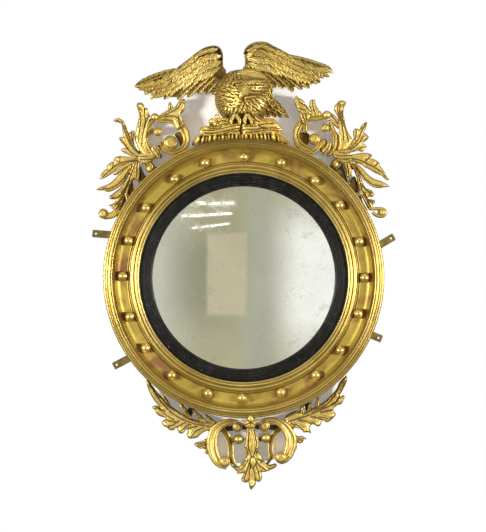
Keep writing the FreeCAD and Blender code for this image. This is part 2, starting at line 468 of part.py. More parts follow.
apron_right_spray = carve(
    [([(99.4, -337.7, 6.1), (120.6, -337.7, 10.8), (146.4, -331.1, 15.5), (172.3, -321.7, 16.4), (195.8, -307.6, 16),
      (214.6, -289.8, 13.6), (229.1, -270, 9.9), (239, -248.9, 6.1), (246.5, -227.2, 1.6)], ORN_BACK, -32.0),
     ([(108.8, -338.2, 3.3), (146.4, -328.3, 4.2), (188.7, -308.6, 4.2), (226.3, -273.3, 2.8)], -30.0, -38.0),
     ([(212.2, -295.9, 8), (226.3, -288.8, 6.6), (239.9, -279.9, 2.8)], ORN_BACK, -26.0),
     ([(207.5, -302.9, 8), (221.6, -302.4, 6.1), (233.8, -298.2, 2.8)], ORN_BACK, -26.0),
     ([(191.1, -314.2, 9.4), (206.6, -320.3, 8.5), (218.8, -324.5, 4.2)], ORN_BACK, -26.0),
     ([(174.6, -324.1, 9.4), (187.8, -333, 8), (198.6, -338.6, 4.2)], ORN_BACK, -26.0),
     ([(155.8, -332.1, 9.4), (167.6, -342.9, 8), (177, -350.4, 4.2)], ORN_BACK, -26.0),
     ([(130, -340.5, 9.4), (146.4, -354.6, 9.4), (161.4, -367.3, 2.8)], ORN_BACK, -26.0),
     ([(169.9, -307.6, 6.1), (173.7, -295.9, 6.6), (177.9, -283.6, 2.4)], ORN_BACK, -26.0),
     ([(139.4, -324.1, 6.6), (142.6, -313.3, 6.6), (146.4, -303.4, 2.4)], ORN_BACK, -26.0)], [])

flower_pts = []
for k in range(16):
    a = math.radians(90 + 22.5 * k)
    r = 19.0 if k % 2 == 0 else 12.5
    flower_pts.append(((16.4, -335.8)[0] + r * math.cos(a), (16.4, -335.8)[1] + r * math.sin(a)))
flower = prism(flower_pts, -42.0 - GAP, -82.0)
flower = flower.fuse(Part.makeSphere(8.0, V((16.4, -335.8)[0], -80.0, (16.4, -335.8)[1])))
flower = flower.cut(Part.makeCylinder(CLEAR_R, 100, V(0, -75.4, 0), V(0, 1, 0)))

apron_pendant = less(apron_pendant, [RING_CORE, flower])
apron_left_scroll = less(apron_left_scroll, [RING_CORE, flower, apron_pendant])
apron_right_scroll = less(apron_right_scroll, [RING_CORE, flower, apron_pendant])
apron_left_spray = less(apron_left_spray, [RING_CORE, apron_left_scroll])
apron_right_spray = less(apron_right_spray, [RING_CORE, apron_right_scroll])

screw_holes = [c for c in plate_cuts if c.BoundBox.YMin < Y1 - 1.0]
for name, shape in (("left_scroll", left_scroll), ("right_scroll", right_scroll),
                    ("left_upper_leaves", left_upper), ("right_upper_leaves", right_upper),
                    ("left_lower_leaves", left_lower), ("right_lower_leaves", right_lower),
                    ("apron_pendant_leaf", apron_pendant), ("apron_left_scroll", apron_left_scroll),
                    ("apron_right_scroll", apron_right_scroll), ("apron_left_leaf_spray", apron_left_spray),
                    ("apron_right_leaf_spray", apron_right_spray)):
    save(name, less(shape, screw_holes))
save("apron_flower", flower)

# ---- eagle crest --------------------------------------------------------
PLINTH_FRONT = -97.0
plinth_low = [(-123.8, 308.1), (-123.8, 311.8), (-116.8, 319.8), (-107.4, 327.4), (-101.3, 335.3), (-102.7, 344.7),
     (-98, 350.4), (-86.2, 352.7), (-8.7, 355.6), (78.3, 354.1), (87.7, 348), (87.7, 337.7), (83.9, 330.6),
     (94.7, 326.9), (105, 319.8), (106, 310.4), (75.9, 318.4), (43, 322.7), (-1.6, 324.5), (-46.3, 322.2),
     (-83.9, 316.5)]
plinth_top = [(-84.8, 352.3), (-83, 367.3), (-76.8, 372.9), (-68.9, 370.6), (-62.7, 367.3), (57.1, 367.3), (66.5, 372),
     (75.9, 366.8), (78.3, 353.7), (-8.7, 351.8)]
plinth = prism(plinth_low, ORN_BACK, PLINTH_FRONT).fuse(prism(plinth_top, ORN_BACK, -90.0))
plinth = plinth.cut(Part.makeCylinder(CLEAR_R, 200, V(0, -76.0, 0), V(0, 1, 0)))

BODY_BACK, BODY_FRONT = -22.0, -90.0
TOP_Z = 367.3         # top of the plinth, under the eagle
body = prism([(-62.7, 464.6), (-68.4, 431.7), (-64.2, 412.9), (-56.6, 394.1), (-53.3, 380), (-46.3, 367.3), (43, 367.3),
     (50.1, 389.4), (60.4, 415.2), (65.1, 438.7), (59.5, 455.2), (43, 470.2), (19.5, 481), (-1.6, 487.2),
     (-27.5, 489.5), (-43.9, 485.7)], BODY_BACK, -78.0)
breast = prism([(-51, 455.2), (-55.7, 431.7), (-51, 403.5), (-41.6, 380), (-32.2, 367.3), (28.9, 367.3), (40.7, 394.1),
     (50.1, 422.3), (50.1, 445.8), (33.6, 466.9), (5.4, 476.3), (-27.5, 476.3)], -78.0, BODY_FRONT)
body = body.fuse(breast)
head = prism([(-3.1, 423.7), (-6.3, 416.2), (-4, 410.5), (5.4, 414.3), (14.8, 416.2), (31.3, 417.6), (44.4, 427),
     (47.7, 445.8), (39.2, 461.3), (21.9, 466.9), (5.4, 462.2), (-2.6, 450.5), (-4, 436.4)], BODY_FRONT, -118.0)
tail = prism([(47.7, 410.5), (61.8, 423.7), (78.3, 410.5), (94.7, 394.1), (106.9, 377.6), (90, 376.7), (75.9, 379.1),
     (57.1, 376.2), (43.9, 375.3)], -34.0, -60.0)
tail = tail.cut(body)
wing_l = [(-258.5, 451.9), (-231.9, 456.1), (-208.4, 461.8), (-181, 472.1), (-170.8, 482.5), (-149.7, 498.9),
     (-130, 513), (-112.1, 529), (-91.7, 540.7), (-74.5, 544.5), (-61.1, 544.5), (-51, 537.9), (-46.8, 529.5),
     (-45.6, 497.5), (-36.9, 490.4), (-36.9, 474), (-51, 455.2), (-60.4, 436.4), (-68.9, 431.2), (-79.2, 431.2),
     (-93.3, 434.5), (-107.4, 436.4), (-121.5, 431.7), (-133.7, 425.6), (-149.7, 418.5), (-157.9, 419.5),
     (-173.2, 420.4), (-189.6, 419.5), (-196.7, 424.2), (-217.8, 422.8), (-213.1, 433.1), (-203.7, 439.7),
     (-220.2, 440.2), (-236.6, 443), (-248.4, 446.7)]
wing_l_arm = [(-135.6, 502.2), (-112.1, 525.7), (-88.6, 538.4), (-62.7, 540.7), (-49.6, 529), (-47.7, 492.8), (-46.3, 474),
     (-69.8, 459.9), (-102.7, 455.2), (-130.9, 455.2), (-154.4, 469.3), (-154.4, 485.7)]
wing_r = [(0.7, 489.5), (0.7, 530.4), (5.4, 538.4), (17.2, 546.8), (33.6, 553), (52.4, 552), (66.5, 545.4),
     (75.9, 539.8), (94.7, 532.7), (108.8, 524.3), (125.3, 517.2), (137, 510.2), (146.4, 500.8), (167.6, 496.1),
     (191.1, 495.6), (205.2, 493.7), (208.9, 488.1), (200.5, 480.1), (184, 476.8), (169.9, 476.8), (169.9, 471.6),
     (181.7, 464.6), (179.3, 457.5), (165.2, 454.3), (155.8, 450.5), (151.1, 444.4), (139.4, 444.4), (130, 449.1),
     (122.9, 445.8), (118.2, 440.2), (106.5, 442), (94.7, 448.1), (85.3, 451.4), (73.6, 449.1), (61.8, 450.5),
     (43, 455.2), (24.2, 464.6)]
wing_r_arm = [(3.1, 525.7), (19.5, 543.1), (38.3, 549.2), (61.8, 543.1), (85.3, 530.4), (104.1, 521), (118.2, 506.9),
     (113.5, 488.1), (90, 478.7), (57.1, 474), (33.6, 478.7), (5.4, 492.8)]
left_wing = prism(wing_l, -38.0, -60.0).fuse(prism(wing_l_arm, -60.0, -72.0))
right_wing = prism(wing_r, -38.0, -60.0).fuse(prism(wing_r_arm, -60.0, -72.0))
left_wing = less(left_wing, [body])
right_wing = less(right_wing, [body])
tail = less(tail, [body])

# Oak dowels across the wing joints and down into the plinth.
dowels = []
for x, z, ang in ((-53.3, 459.9, 180.0), (-56.6, 441.1, 180.0), (28.9, 469.3, 68.0), (47.7, 459.9, 58.0)):
    c, s = math.cos(math.radians(ang)), math.sin(math.radians(ang))
    dowels.append(Part.makeCylinder(4.0, 32.0, V(x - c * 16.0, -49.0, z - s * 16.0), V(c, 0, s)))
for x in (-18.1, 19.5):
    dowels.append(Part.makeCylinder(5.0, 44.0, V(x, -52.0, TOP_Z - 20.0), V(0, 0, 1)))
dowel_cut = Part.makeCompound([d.copy() for d in dowels])

feet = {}
for name, cx in (("eagle_left_foot", 234.6), ("eagle_right_foot", 247.6)):
    x0 = (cx - 243.7) * 2.35
    pad = prism([(x0 - 12, 355.6), (x0 + 12, 355.6), (x0 + 13, 367.3), (x0 + 8, 379.1),
                 (x0 - 8, 379.1), (x0 - 13, 367.3)], BODY_FRONT, -100.0)
    toes = []
    for dx in (-8.0, 0.0, 8.0):
        toes.append(prism([(x0 + dx - 3.2, 369.7), (x0 + dx + 3.2, 369.7), (x0 + dx + 2.6, 356),
                           (x0 + dx, 352.7), (x0 + dx - 2.6, 356)], -99.0, -107.0))
    feet[name] = pad.fuse(toes)

plinth = less(plinth, list(feet.values()) + screw_holes).cut(dowel_cut)
save("rock_plinth", plinth)
save("eagle_body", body.cut(dowel_cut))
save("eagle_head", head)
save("eagle_tail", tail)
save("eagle_left_wing", left_wing.cut(dowel_cut))
save("eagle_right_wing", right_wing.cut(dowel_cut))
save("eagle_dowels", Part.makeCompound(dowels))
for name, shape in feet.items():
    save(name, shape)

print("nodes", len(OUT))
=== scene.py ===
import bpy
import math
import random
import numpy as np
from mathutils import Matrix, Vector, noise


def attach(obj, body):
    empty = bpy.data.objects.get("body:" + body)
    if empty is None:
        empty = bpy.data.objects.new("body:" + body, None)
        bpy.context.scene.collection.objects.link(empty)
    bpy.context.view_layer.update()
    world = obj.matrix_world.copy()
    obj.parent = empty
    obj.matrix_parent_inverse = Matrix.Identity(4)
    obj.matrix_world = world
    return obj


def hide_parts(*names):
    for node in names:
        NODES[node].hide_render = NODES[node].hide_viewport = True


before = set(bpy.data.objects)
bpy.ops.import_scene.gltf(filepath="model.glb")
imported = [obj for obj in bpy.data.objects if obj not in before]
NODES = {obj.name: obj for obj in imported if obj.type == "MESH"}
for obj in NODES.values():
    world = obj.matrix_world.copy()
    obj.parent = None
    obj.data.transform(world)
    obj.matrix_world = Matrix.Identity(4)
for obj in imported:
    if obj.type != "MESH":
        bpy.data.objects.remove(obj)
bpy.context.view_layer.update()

ROOT = "mirror"
MM = 0.001
random.seed(7)

# ------------------------------------------------------------------ materials


def new_mat(name):
    m = bpy.data.materials.new(name)
    m.use_nodes = True
    nt = m.node_tree
    nt.nodes.clear()
    out = nt.nodes.new("ShaderNodeOutputMaterial")
    bs = nt.nodes.new("ShaderNodeBsdfPrincipled")
    nt.links.new(bs.outputs[0], out.inputs[0])
    return m, nt, bs


class Nodes:
    """Short forms for wiring a node tree."""

    def __init__(self, nt):
        self.nt = nt
        self.pos = nt.nodes.new("ShaderNodeNewGeometry")
        self.co = nt.nodes.new("ShaderNodeTexCoord")

    def noise(self, scale, detail=4.0, rough=0.55, vec=None, dist=0.0):
        n = self.nt.nodes.new("ShaderNodeTexNoise")
        n.inputs["Scale"].default_value = scale
        n.inputs["Detail"].default_value = detail
        n.inputs["Roughness"].default_value = rough
        n.inputs["Distortion"].default_value = dist
        self.nt.links.new(vec or self.co.outputs["Object"], n.inputs["Vector"])
        return n.outputs["Fac"]

    def voronoi(self, scale, feature="F1", out="Distance", vec=None):
        n = self.nt.nodes.new("ShaderNodeTexVoronoi")
        n.feature = feature
        n.inputs["Scale"].default_value = scale
        self.nt.links.new(vec or self.co.outputs["Object"], n.inputs["Vector"])
        return n.outputs[out]

    def wave(self, vec, scale, dist=0.0, detail=2.0, dscale=1.0, axis="X"):
        n = self.nt.nodes.new("ShaderNodeTexWave")
        n.bands_direction = axis
        n.inputs["Scale"].default_value = scale
        n.inputs["Distortion"].default_value = dist
        n.inputs["Detail"].default_value = detail
        n.inputs["Detail Scale"].default_value = dscale
        self.nt.links.new(vec, n.inputs["Vector"])
        return n.outputs["Fac"]

    def ramp(self, fac, stops, interp="LINEAR"):
        n = self.nt.nodes.new("ShaderNodeValToRGB")
        n.color_ramp.interpolation = interp
        e = n.color_ramp.elements
        while len(e) < len(stops):
            e.new(0.5)
        for i, (p, c) in enumerate(stops):
            e[i].position = p
            e[i].color = (c, c, c, 1) if isinstance(c, (int, float)) else (c[0], c[1], c[2], 1)
        self.nt.links.new(fac, n.inputs[0])
        return n.outputs[0]

    def math(self, op, a, b=0.5, c=0.5, clamp=False):
        n = self.nt.nodes.new("ShaderNodeMath")
        n.operation = op
        n.use_clamp = clamp
        for i, v in enumerate((a, b, c)):
            if isinstance(v, (int, float)):
                n.inputs[i].default_value = v
            else:
                self.nt.links.new(v, n.inputs[i])
        return n.outputs[0]

    def mix(self, fac, a, b, blend="MIX"):
        n = self.nt.nodes.new("ShaderNodeMix")
        n.data_type = "RGBA"
        n.blend_type = blend
        for key, v in ((0, fac), (6, a), (7, b)):
            s = n.inputs[key]
            if isinstance(v, (int, float)):
                s.default_value = v
            elif isinstance(v, tuple):
                s.default_value = (v[0], v[1], v[2], 1)
            else:
                self.nt.links.new(v, s)
        return n.outputs[2]

    def attr(self, name):
        n = self.nt.nodes.new("ShaderNodeAttribute")
        n.attribute_name = name
        return n.outputs["Fac"]

    def sep(self, vec):
        n = self.nt.nodes.new("ShaderNodeSeparateXYZ")
        self.nt.links.new(vec, n.inputs[0])
        return n.outputs

    def mapping(self, vec, scale=(1, 1, 1), loc=(0, 0, 0), rot=(0, 0, 0)):
        n = self.nt.nodes.new("ShaderNodeMapping")
        n.inputs["Scale"].default_value = scale
        n.inputs["Location"].default_value = loc
        n.inputs["Rotation"].default_value = rot
        self.nt.links.new(vec, n.inputs["Vector"])
        return n.outputs[0]

    def bump(self, height, strength, distance, normal=None):
        n = self.nt.nodes.new("ShaderNodeBump")
        n.inputs["Strength"].default_value = strength
        n.inputs["Distance"].default_value = distance
        self.nt.links.new(height, n.inputs["Height"])
        if normal is not None:
            self.nt.links.new(normal, n.inputs["Normal"])
        return n.outputs[0]

    def to(self, out, sock):
        self.nt.links.new(out, sock)


GOLD_HI = (0.90, 0.73, 0.35)
GOLD_MID = (0.72, 0.555, 0.205)
GOLD_OLIVE = (0.50, 0.40, 0.135)
BOLE = (0.19, 0.085, 0.040)
# dark brown used both for grime and for painted shade in hollows, creases and gaps
GRIME_AND_SHADE = (0.080, 0.040, 0.010)
OCHRE = (0.42, 0.27, 0.11)


def gilt(name, olive=0.5, worn=0.5, matte=0.0, bump=0.14, patch=0.0, coat=0.30, gain=(1.0, 1.0, 1.0), barbs=0.0, lay=(0.45, 0.89), rough=0.30, dirt_and_shade=GRIME_AND_SHADE):
    """Water gilding over red bole: thin leaf, rubbed edges, hollows darkened with grime and painted shade, plain ochre
    back.
    """
    m, nt, bs = new_mat(name)
    n = Nodes(nt)
    big = n.noise(9.0, 5.0, 0.6)
    mid = n.noise(46.0, 6.0, 0.62)
    fine = n.noise(240.0, 5.0, 0.6)
    leaf = n.voronoi(14.0, out="Color")
    leaf = n.sep(leaf)[0]
    tone = n.math("ADD", n.math("MULTIPLY", big, 0.75), n.math("MULTIPLY", leaf, 0.25))
    gold = n.ramp(tone, [(0.30, tuple(gain[i] * (GOLD_OLIVE[i] * olive + GOLD_MID[i] * (1 - olive)) for i in range(3))),
                         (0.50, tuple(gain[i] * (GOLD_MID[i] if olive < 0.6 else (GOLD_MID[i] + GOLD_OLIVE[i]) / 2) for i in range(3))),
                         (0.72, tuple(gain[i] * (GOLD_HI[i] * (1 - 0.6 * olive) + GOLD_MID[i] * 0.6 * olive) for i in range(3)))])
    gold = n.mix(n.math("MULTIPLY", n.ramp(mid, [(0.45, 0.0), (0.75, 1.0)]), 0.35), gold, tuple(gain[i] * GOLD_OLIVE[i] for i in range(3)))
    # cav marks hollows, creases, gaps between parts and the places beside the balls: it darkens the gilding with grime
    # and painted shade
    cav = n.attr("cav")
    grime_and_shade_n = n.math("ADD", cav, n.math("MULTIPLY", n.math("SUBTRACT", mid, 0.5), 0.55))
    if barbs:
        # fine cuts slanting back from the quill on both sides, bumped and darkened with painted shade; the UV is in
        # units of 100 mm
        uv = n.sep(n.co.outputs["UV"])
        side = n.math("ABSOLUTE", n.math("SUBTRACT", uv[1], 0.5))
        ph = n.math("SUBTRACT", n.math("MULTIPLY", uv[0], lay[0]), n.math("MULTIPLY", side, lay[1]))
        ph = n.math("ADD", ph, n.math("MULTIPLY", n.noise(60.0, 2.0, 0.5), 0.016))
        cut = n.math("SINE", n.math("MULTIPLY", ph, 2 * math.pi * 100.0 / barbs))
        cut = n.ramp(n.math("ADD", n.math("MULTIPLY", cut, 0.5), 0.5), [(0.08, 1.0), (0.52, 0.0)])
        cut = n.math("MULTIPLY", cut, n.ramp(side, [(0.0015, 0.0), (0.006, 1.0)]))
        grime_and_shade_n = n.math("ADD", grime_and_shade_n, n.math("MULTIPLY", cut, 0.60))
    grime_and_shade = n.ramp(grime_and_shade_n, [(0.32, 0.0), (0.62, 0.55), (0.95, 0.97)])
    # rubbed places where bole shows through, in patches set by noise
    rub_n = n.math("ADD", n.math("MULTIPLY", mid, 0.6), n.math("MULTIPLY", fine, 0.4))
    rub = n.math("MULTIPLY", n.ramp(rub_n, [(0.60 - 0.07 * worn, 0.0), (0.70 - 0.05 * worn, 1.0)]), 0.30 + 0.5 * worn)
    rub = n.math("MULTIPLY", rub, n.ramp(big, [(0.42, 0.15), (0.62, 1.0)]))
    col = n.mix(rub, gold, BOLE)
    if patch:
        # broad places where the leaf has gone thin and brown
        wide = n.noise(17.0, 3.0, 0.5, dist=0.4)
        spots = n.ramp(n.noise(330.0, 2.0, 0.5), [(0.66, 0.0), (0.72, 1.0)])
        col = n.mix(n.math("MULTIPLY", n.ramp(wide, [(0.50, 0.0), (0.66, 1.0)]), patch), col, (0.225, 0.105, 0.038))
        col = n.mix(n.math("MULTIPLY", spots, 0.55), col, (0.13, 0.07, 0.03))
    # mix in the dark brown of grime and painted shade where cav is high
    col = n.mix(grime_and_shade, col, dirt_and_shade)
    # the unseen back is only sized with ochre
    back = n.ramp(n.sep(n.pos.outputs["Normal"])[1], [(0.55, 0.0), (0.75, 1.0)])
    grain = n.noise(30.0, 4.0, 0.6, n.mapping(n.co.outputs["Object"], (1, 1, 7)))
    och = n.mix(n.ramp(grain, [(0.35, 0.0), (0.7, 1.0)]), OCHRE, tuple(c * 0.62 for c in OCHRE))
    col = n.mix(back, col, och)
    n.to(col, bs.inputs["Base Color"])
    met = n.math("SUBTRACT", 0.97 - matte * 0.3, n.math("MULTIPLY", grime_and_shade, 0.7))
    met = n.math("SUBTRACT", met, n.math("MULTIPLY", rub, 0.35))
    met = n.math("MULTIPLY", met, n.math("SUBTRACT", 1.0, back), clamp=True)
    n.to(met, bs.inputs["Metallic"])
    n.to(n.math("MULTIPLY", n.math("SUBTRACT", 1.0, grime_and_shade), 0.35), bs.inputs["Specular IOR Level"])
    n.to(n.math("MULTIPLY", n.math("SUBTRACT", 1.0, n.math("MAXIMUM", grime_and_shade, back)), coat), bs.inputs["Coat Weight"])
    bs.inputs["Coat Roughness"].default_value = 0.34
    rgh = n.math("ADD", rough + 0.12 * matte, n.math("MULTIPLY", mid, 0.13))
    rgh = n.math("ADD", rgh, n.math("MULTIPLY", grime_and_shade, 0.3))
    rgh = n.math("ADD", rgh, n.math("MULTIPLY", back, 0.35), clamp=True)
    n.to(rgh, bs.inputs["Roughness"])
    h = n.math("ADD", n.math("MULTIPLY", mid, 0.7), n.math("MULTIPLY", fine, 0.3))
    nrm = n.bump(h, bump, 0.0012)
    if barbs:
        nrm = n.bump(n.math("SUBTRACT", 1.0, cut), 0.55, 0.0009, nrm)
    n.to(nrm, bs.inputs["Normal"])
    return m


def ebony(name):
    m, nt, bs = new_mat(name)
    n = Nodes(nt)
    mid = n.noise(60.0, 5.0, 0.6)
    spec = n.noise(420.0, 2.0, 0.5)
    cav = n.attr("cav")
    base = n.ramp(mid, [(0.3, (0.004, 0.004, 0.0035)), (0.7, (0.011, 0.0105, 0.009))])
    rubd = n.math("MULTIPLY", n.ramp(n.math("SUBTRACT", mid, n.math("MULTIPLY", cav, 0.3)), [(0.50, 0.0), (0.72, 1.0)]), 0.22)
    col = n.mix(rubd, base, (0.075, 0.058, 0.040))
    chips = n.math("MULTIPLY", n.ramp(spec, [(0.735, 0.0), (0.76, 1.0)]), 0.8)
    col = n.mix(chips, col, (0.55, 0.52, 0.46))
    n.to(col, bs.inputs["Base Color"])
    n.to(n.math("ADD", 0.34, n.math("MULTIPLY", mid, 0.25)), bs.inputs["Roughness"])
    bs.inputs["Specular IOR Level"].default_value = 0.14
    n.to(n.bump(mid, 0.25, 0.0006), bs.inputs["Normal"])
    return m


def old_mirror(name):
    m, nt, bs = new_mat(name)
    n = Nodes(nt)
    big = n.noise(5.0, 6.0, 0.65, dist=0.6)
    mid = n.noise(34.0, 7.0, 0.68, dist=0.3)
    fine = n.noise(260.0, 4.0, 0.6)
    xyz = n.sep(n.co.outputs["Object"])
    r = n.math("SQRT", n.math("ADD", n.math("MULTIPLY", xyz[0], xyz[0]), n.math("MULTIPLY", xyz[2], xyz[2])))
    edge = n.ramp(r, [(0.120, 0.0), (0.215, 1.0)])
    haze = n.math("ADD", n.math("MULTIPLY", big, 0.7), n.math("MULTIPLY", mid, 0.3))
    col = n.ramp(haze, [(0.34, (0.80, 0.81, 0.775)), (0.50, (0.90, 0.90, 0.87)), (0.64, (0.96, 0.96, 0.94))])
    # the silvering has clouded, most of all above and round the edge
    up = n.ramp(xyz[2], [(-0.02, 0.0), (0.21, 1.0)])
    fox_n = n.math("ADD", n.math("MULTIPLY", mid, 0.72), n.math("MULTIPLY", fine, 0.28))
    fox = n.ramp(n.math("ADD", fox_n, n.math("MULTIPLY", n.math("MULTIPLY", edge, n.math("ADD", 0.3, up)), 0.085)), [(0.545, 0.0), (0.70, 1.0)])
    col = n.mix(n.math("MULTIPLY", fox, 0.55), col, (0.30, 0.285, 0.175))
    n.to(col, bs.inputs["Base Color"])
    n.to(n.math("SUBTRACT", 0.985, n.math("MULTIPLY", fox, 0.10)), bs.inputs["Metallic"])
    n.to(n.math("ADD", 0.035, n.math("MULTIPLY", fox, 0.22)), bs.inputs["Roughness"])
    bs.inputs["Specular IOR Level"].default_value = 0.3
    n.to(n.bump(n.math("ADD", big, n.math("MULTIPLY", mid, 0.1)), 0.03, 0.002), bs.inputs["Normal"])
    return m


def pine(name, tint=(1, 1, 1), along="X"):
    m, nt, bs = new_mat(name)
    n = Nodes(nt)
    sc = {"X": (1.2, 14, 14), "Z": (14, 14, 1.2)}[along]
    v = n.mapping(n.co.outputs["Object"], sc)
    g = n.noise(5.0, 5.0, 0.6, v, 1.2)
    rings = n.math("SINE", n.math("MULTIPLY", g, 46.0))
    fibre = n.noise(60.0, 4.0, 0.7, v)
    stain = n.noise(4.0, 5.0, 0.6)
    a = tuple(0.32 * t * k for t, k in zip(tint, (1, 0.66, 0.37)))
    b = tuple(0.185 * t * k for t, k in zip(tint, (1, 0.56, 0.28)))
    col = n.mix(n.ramp(rings, [(0.2, 0.0), (0.9, 1.0)]), a, b)
    col = n.mix(n.math("MULTIPLY", n.ramp(stain, [(0.4, 0.0), (0.7, 1.0)]), 0.6), col, (0.055, 0.034, 0.018))
    col = n.mix(n.math("MULTIPLY", fibre, 0.25), col, (0.07, 0.04, 0.02))
    n.to(col, bs.inputs["Base Color"])
    n.to(n.math("ADD", 0.62, n.math("MULTIPLY", fibre, 0.25)), bs.inputs["Roughness"])
    n.to(n.bump(n.math("ADD", fibre, n.math("MULTIPLY", rings, 0.15)), 0.4, 0.0008), bs.inputs["Normal"])
    return m


def metal(name, dark, light, rust, rough=0.45, metallic=0.9):
    m, nt, bs = new_mat(name)
    n = Nodes(nt)
    mid = n.noise(70.0, 5.0, 0.6)
    fine = n.noise(420.0, 4.0, 0.6)
    big = n.noise(16.0, 4.0, 0.6)
    col = n.mix(n.ramp(mid, [(0.35, 0.0), (0.7, 1.0)]), dark, light)
    rs = n.ramp(n.math("ADD", n.math("MULTIPLY", big, 0.7), n.math("MULTIPLY", fine, 0.3)), [(0.52, 0.0), (0.64, 1.0)])
    col = n.mix(n.math("MULTIPLY", rs, 0.8), col, rust)
    n.to(col, bs.inputs["Base Color"])
    n.to(n.math("SUBTRACT", metallic, n.math("MULTIPLY", rs, 0.6)), bs.inputs["Metallic"])
    n.to(n.math("ADD", rough, n.math("MULTIPLY", n.math("SUBTRACT", mid, 0.5), 0.3)), bs.inputs["Roughness"])
    n.to(n.bump(n.math("ADD", mid, n.math("MULTIPLY", fine, 0.4)), 0.3, 0.0006), bs.inputs["Normal"])
    return m


M_GILT = gilt("gilt_carved", 0.35, 0.45, coat=0.04, gain=(0.86, 0.82, 0.64), rough=0.41)
# a brighter copy of the carved gilding, painted lighter to make up for the shade the eagle casts on the rock
M_ROCK = gilt("gilt_rockwork", 0.30, 0.35, coat=0.12, gain=(1.22, 1.17, 0.93), rough=0.31)
M_RING = gilt("gilt_reeded", 0.40, 0.45, bump=0.10, coat=0.16, gain=(0.79, 0.76, 0.60), rough=0.29)
# the cavetto's redder dark brown serves its grime and the painted shadows beside the balls
M_COVE = gilt("gilt_cavetto", 0.80, 0.60, matte=1.0, bump=0.10, patch=0.90, coat=0.12, gain=(0.68, 0.63, 0.30), rough=0.26, dirt_and_shade=(0.115, 0.040, 0.014))
M_FEATHER = gilt("gilt_feathered", 0.30, 0.30, bump=0.08, coat=0.04, gain=(0.82, 0.77, 0.58), barbs=4.7, lay=(0.34, 0.94), rough=0.36)
M_DOWN = gilt("gilt_breast_feathers", 0.30, 0.30, bump=0.08, coat=0.04, gain=(0.92, 0.87, 0.66), barbs=4.4, lay=(0.12, 0.99), rough=0.36)
M_BALL = gilt("gilt_balls", 0.45, 0.6, matte=0.3, bump=0.45, coat=0.15, gain=(0.82, 0.77, 0.60), rough=0.25)
M_EBONY = ebony("ebonised_reeded")
M_MIRROR = old_mirror("foxed_mirror")
M_PINE = pine("old_pine")
M_PINE_D = pine("dark_pine", (0.8, 0.78, 0.75), "Z")
M_IRON = metal("black_iron", (0.035, 0.032, 0.030), (0.10, 0.092, 0.085), (0.16, 0.065, 0.028))
M_STRAP = metal("bronzed_strap", (0.165, 0.125, 0.038), (0.31, 0.24, 0.082), (0.085, 0.060, 0.022), 0.42)
M_SCREW = metal("tarnished_steel", (0.14, 0.13, 0.12), (0.32, 0.30, 0.27), (0.15, 0.07, 0.035), 0.36)

# ------------------------------------------------------------------ mesh tools


class Shell:
    """Collects closed surfaces with a cavity value and a UV per vertex."""

    def __init__(self):
        self.v, self.f, self.c, self.uv = [], [], [], []

    def add(self, verts, faces, cav, uv=None):
        o = len(self.v)
        # no two pieces of one carving share exactly the same back plane
        self.k = getattr(self, "k", -1) + 1
        far = max(q[1] for q in verts)
        if self.k and sum(1 for q in verts if q[1] > far - 1e-6) >= 6:
            verts = [(x, y - 0.06 * (self.k % 17) if y > far - 1e-6 else y, z) for x, y, z in verts]
        self.v.extend(verts)
        self.c.extend(cav)
        self.uv.extend(uv if uv is not None else [(0.0, 0.5)] * len(verts))
        self.f.extend([tuple(i + o for i in q) for q in faces])

    def build(self, name, mat, body=ROOT, replaces=(), smooth=True):
        me = bpy.data.meshes.new(name)
        me.from_pydata([(x * MM, y * MM, z * MM) for x, y, z in self.v], [], self.f)
        me.validate()
        at = me.attributes.new("cav", "FLOAT", "POINT")
        at.data.foreach_set("value", np.clip(np.array(self.c, dtype=np.float32), 0, 1))
        lay = me.uv_layers.new(name="UVMap")
        idx = np.zeros(len(me.loops), dtype=np.int32)
        me.loops.foreach_get("vertex_index", idx)
        uv = np.array(self.uv, dtype=np.float32)[idx]
        lay.data.foreach_set("uv", uv.ravel())
        if smooth:
            me.polygons.foreach_set("use_smooth", np.ones(len(me.polygons), dtype=bool))
        me.materials.append(mat)
        ob = bpy.data.objects.new(name, me)
        bpy.context.scene.collection.objects.link(ob)
        fix_normals(ob)
        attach(ob, body)
        if replaces:
            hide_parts(*replaces)
        return ob


def fix_normals(ob):
    import bmesh
    bm = bmesh.new()
    bm.from_mesh(ob.data)
    bmesh.ops.recalc_face_normals(bm, faces=bm.faces[:])
    bm.to_mesh(ob.data)
    bm.free()


def crisp(ob, deg=38.0):
    """Split shading at sharp arrises."""
    me = ob.data
    import bmesh
    bm = bmesh.new()
    bm.from_mesh(me)
    lim = math.radians(deg)
    for e in bm.edges:
        if len(e.link_faces) == 2 and e.calc_face_angle(0.0) > lim:
            e.smooth = False
    bm.to_mesh(me)
    bm.free()


def smooth(rows, per):
    n = len(rows)
    res = []
    for i in range(n - 1):
        a, b, c, d = rows[max(i - 1, 0)], rows[i], rows[i + 1], rows[min(i + 2, n - 1)]
        for k in range(per):
            t = k / per
            row = []
            for j in range(len(b)):
                m0, m1 = (c[j] - a[j]) / 2, (d[j] - b[j]) / 2
                row.append((2 * t ** 3 - 3 * t ** 2 + 1) * b[j] + (t ** 3 - 2 * t ** 2 + t) * m0
                           + (-2 * t ** 3 + 3 * t ** 2) * c[j] + (t ** 3 - t ** 2) * m1)
            res.append(row)
    res.append(list(rows[-1]))
    return res


def wob(x, z, s, k=0):
    """Small hand-cut unevenness, the same every run."""
    return noise.noise(Vector((x * s + 3.1 * k, z * s, 1.7 * k)))


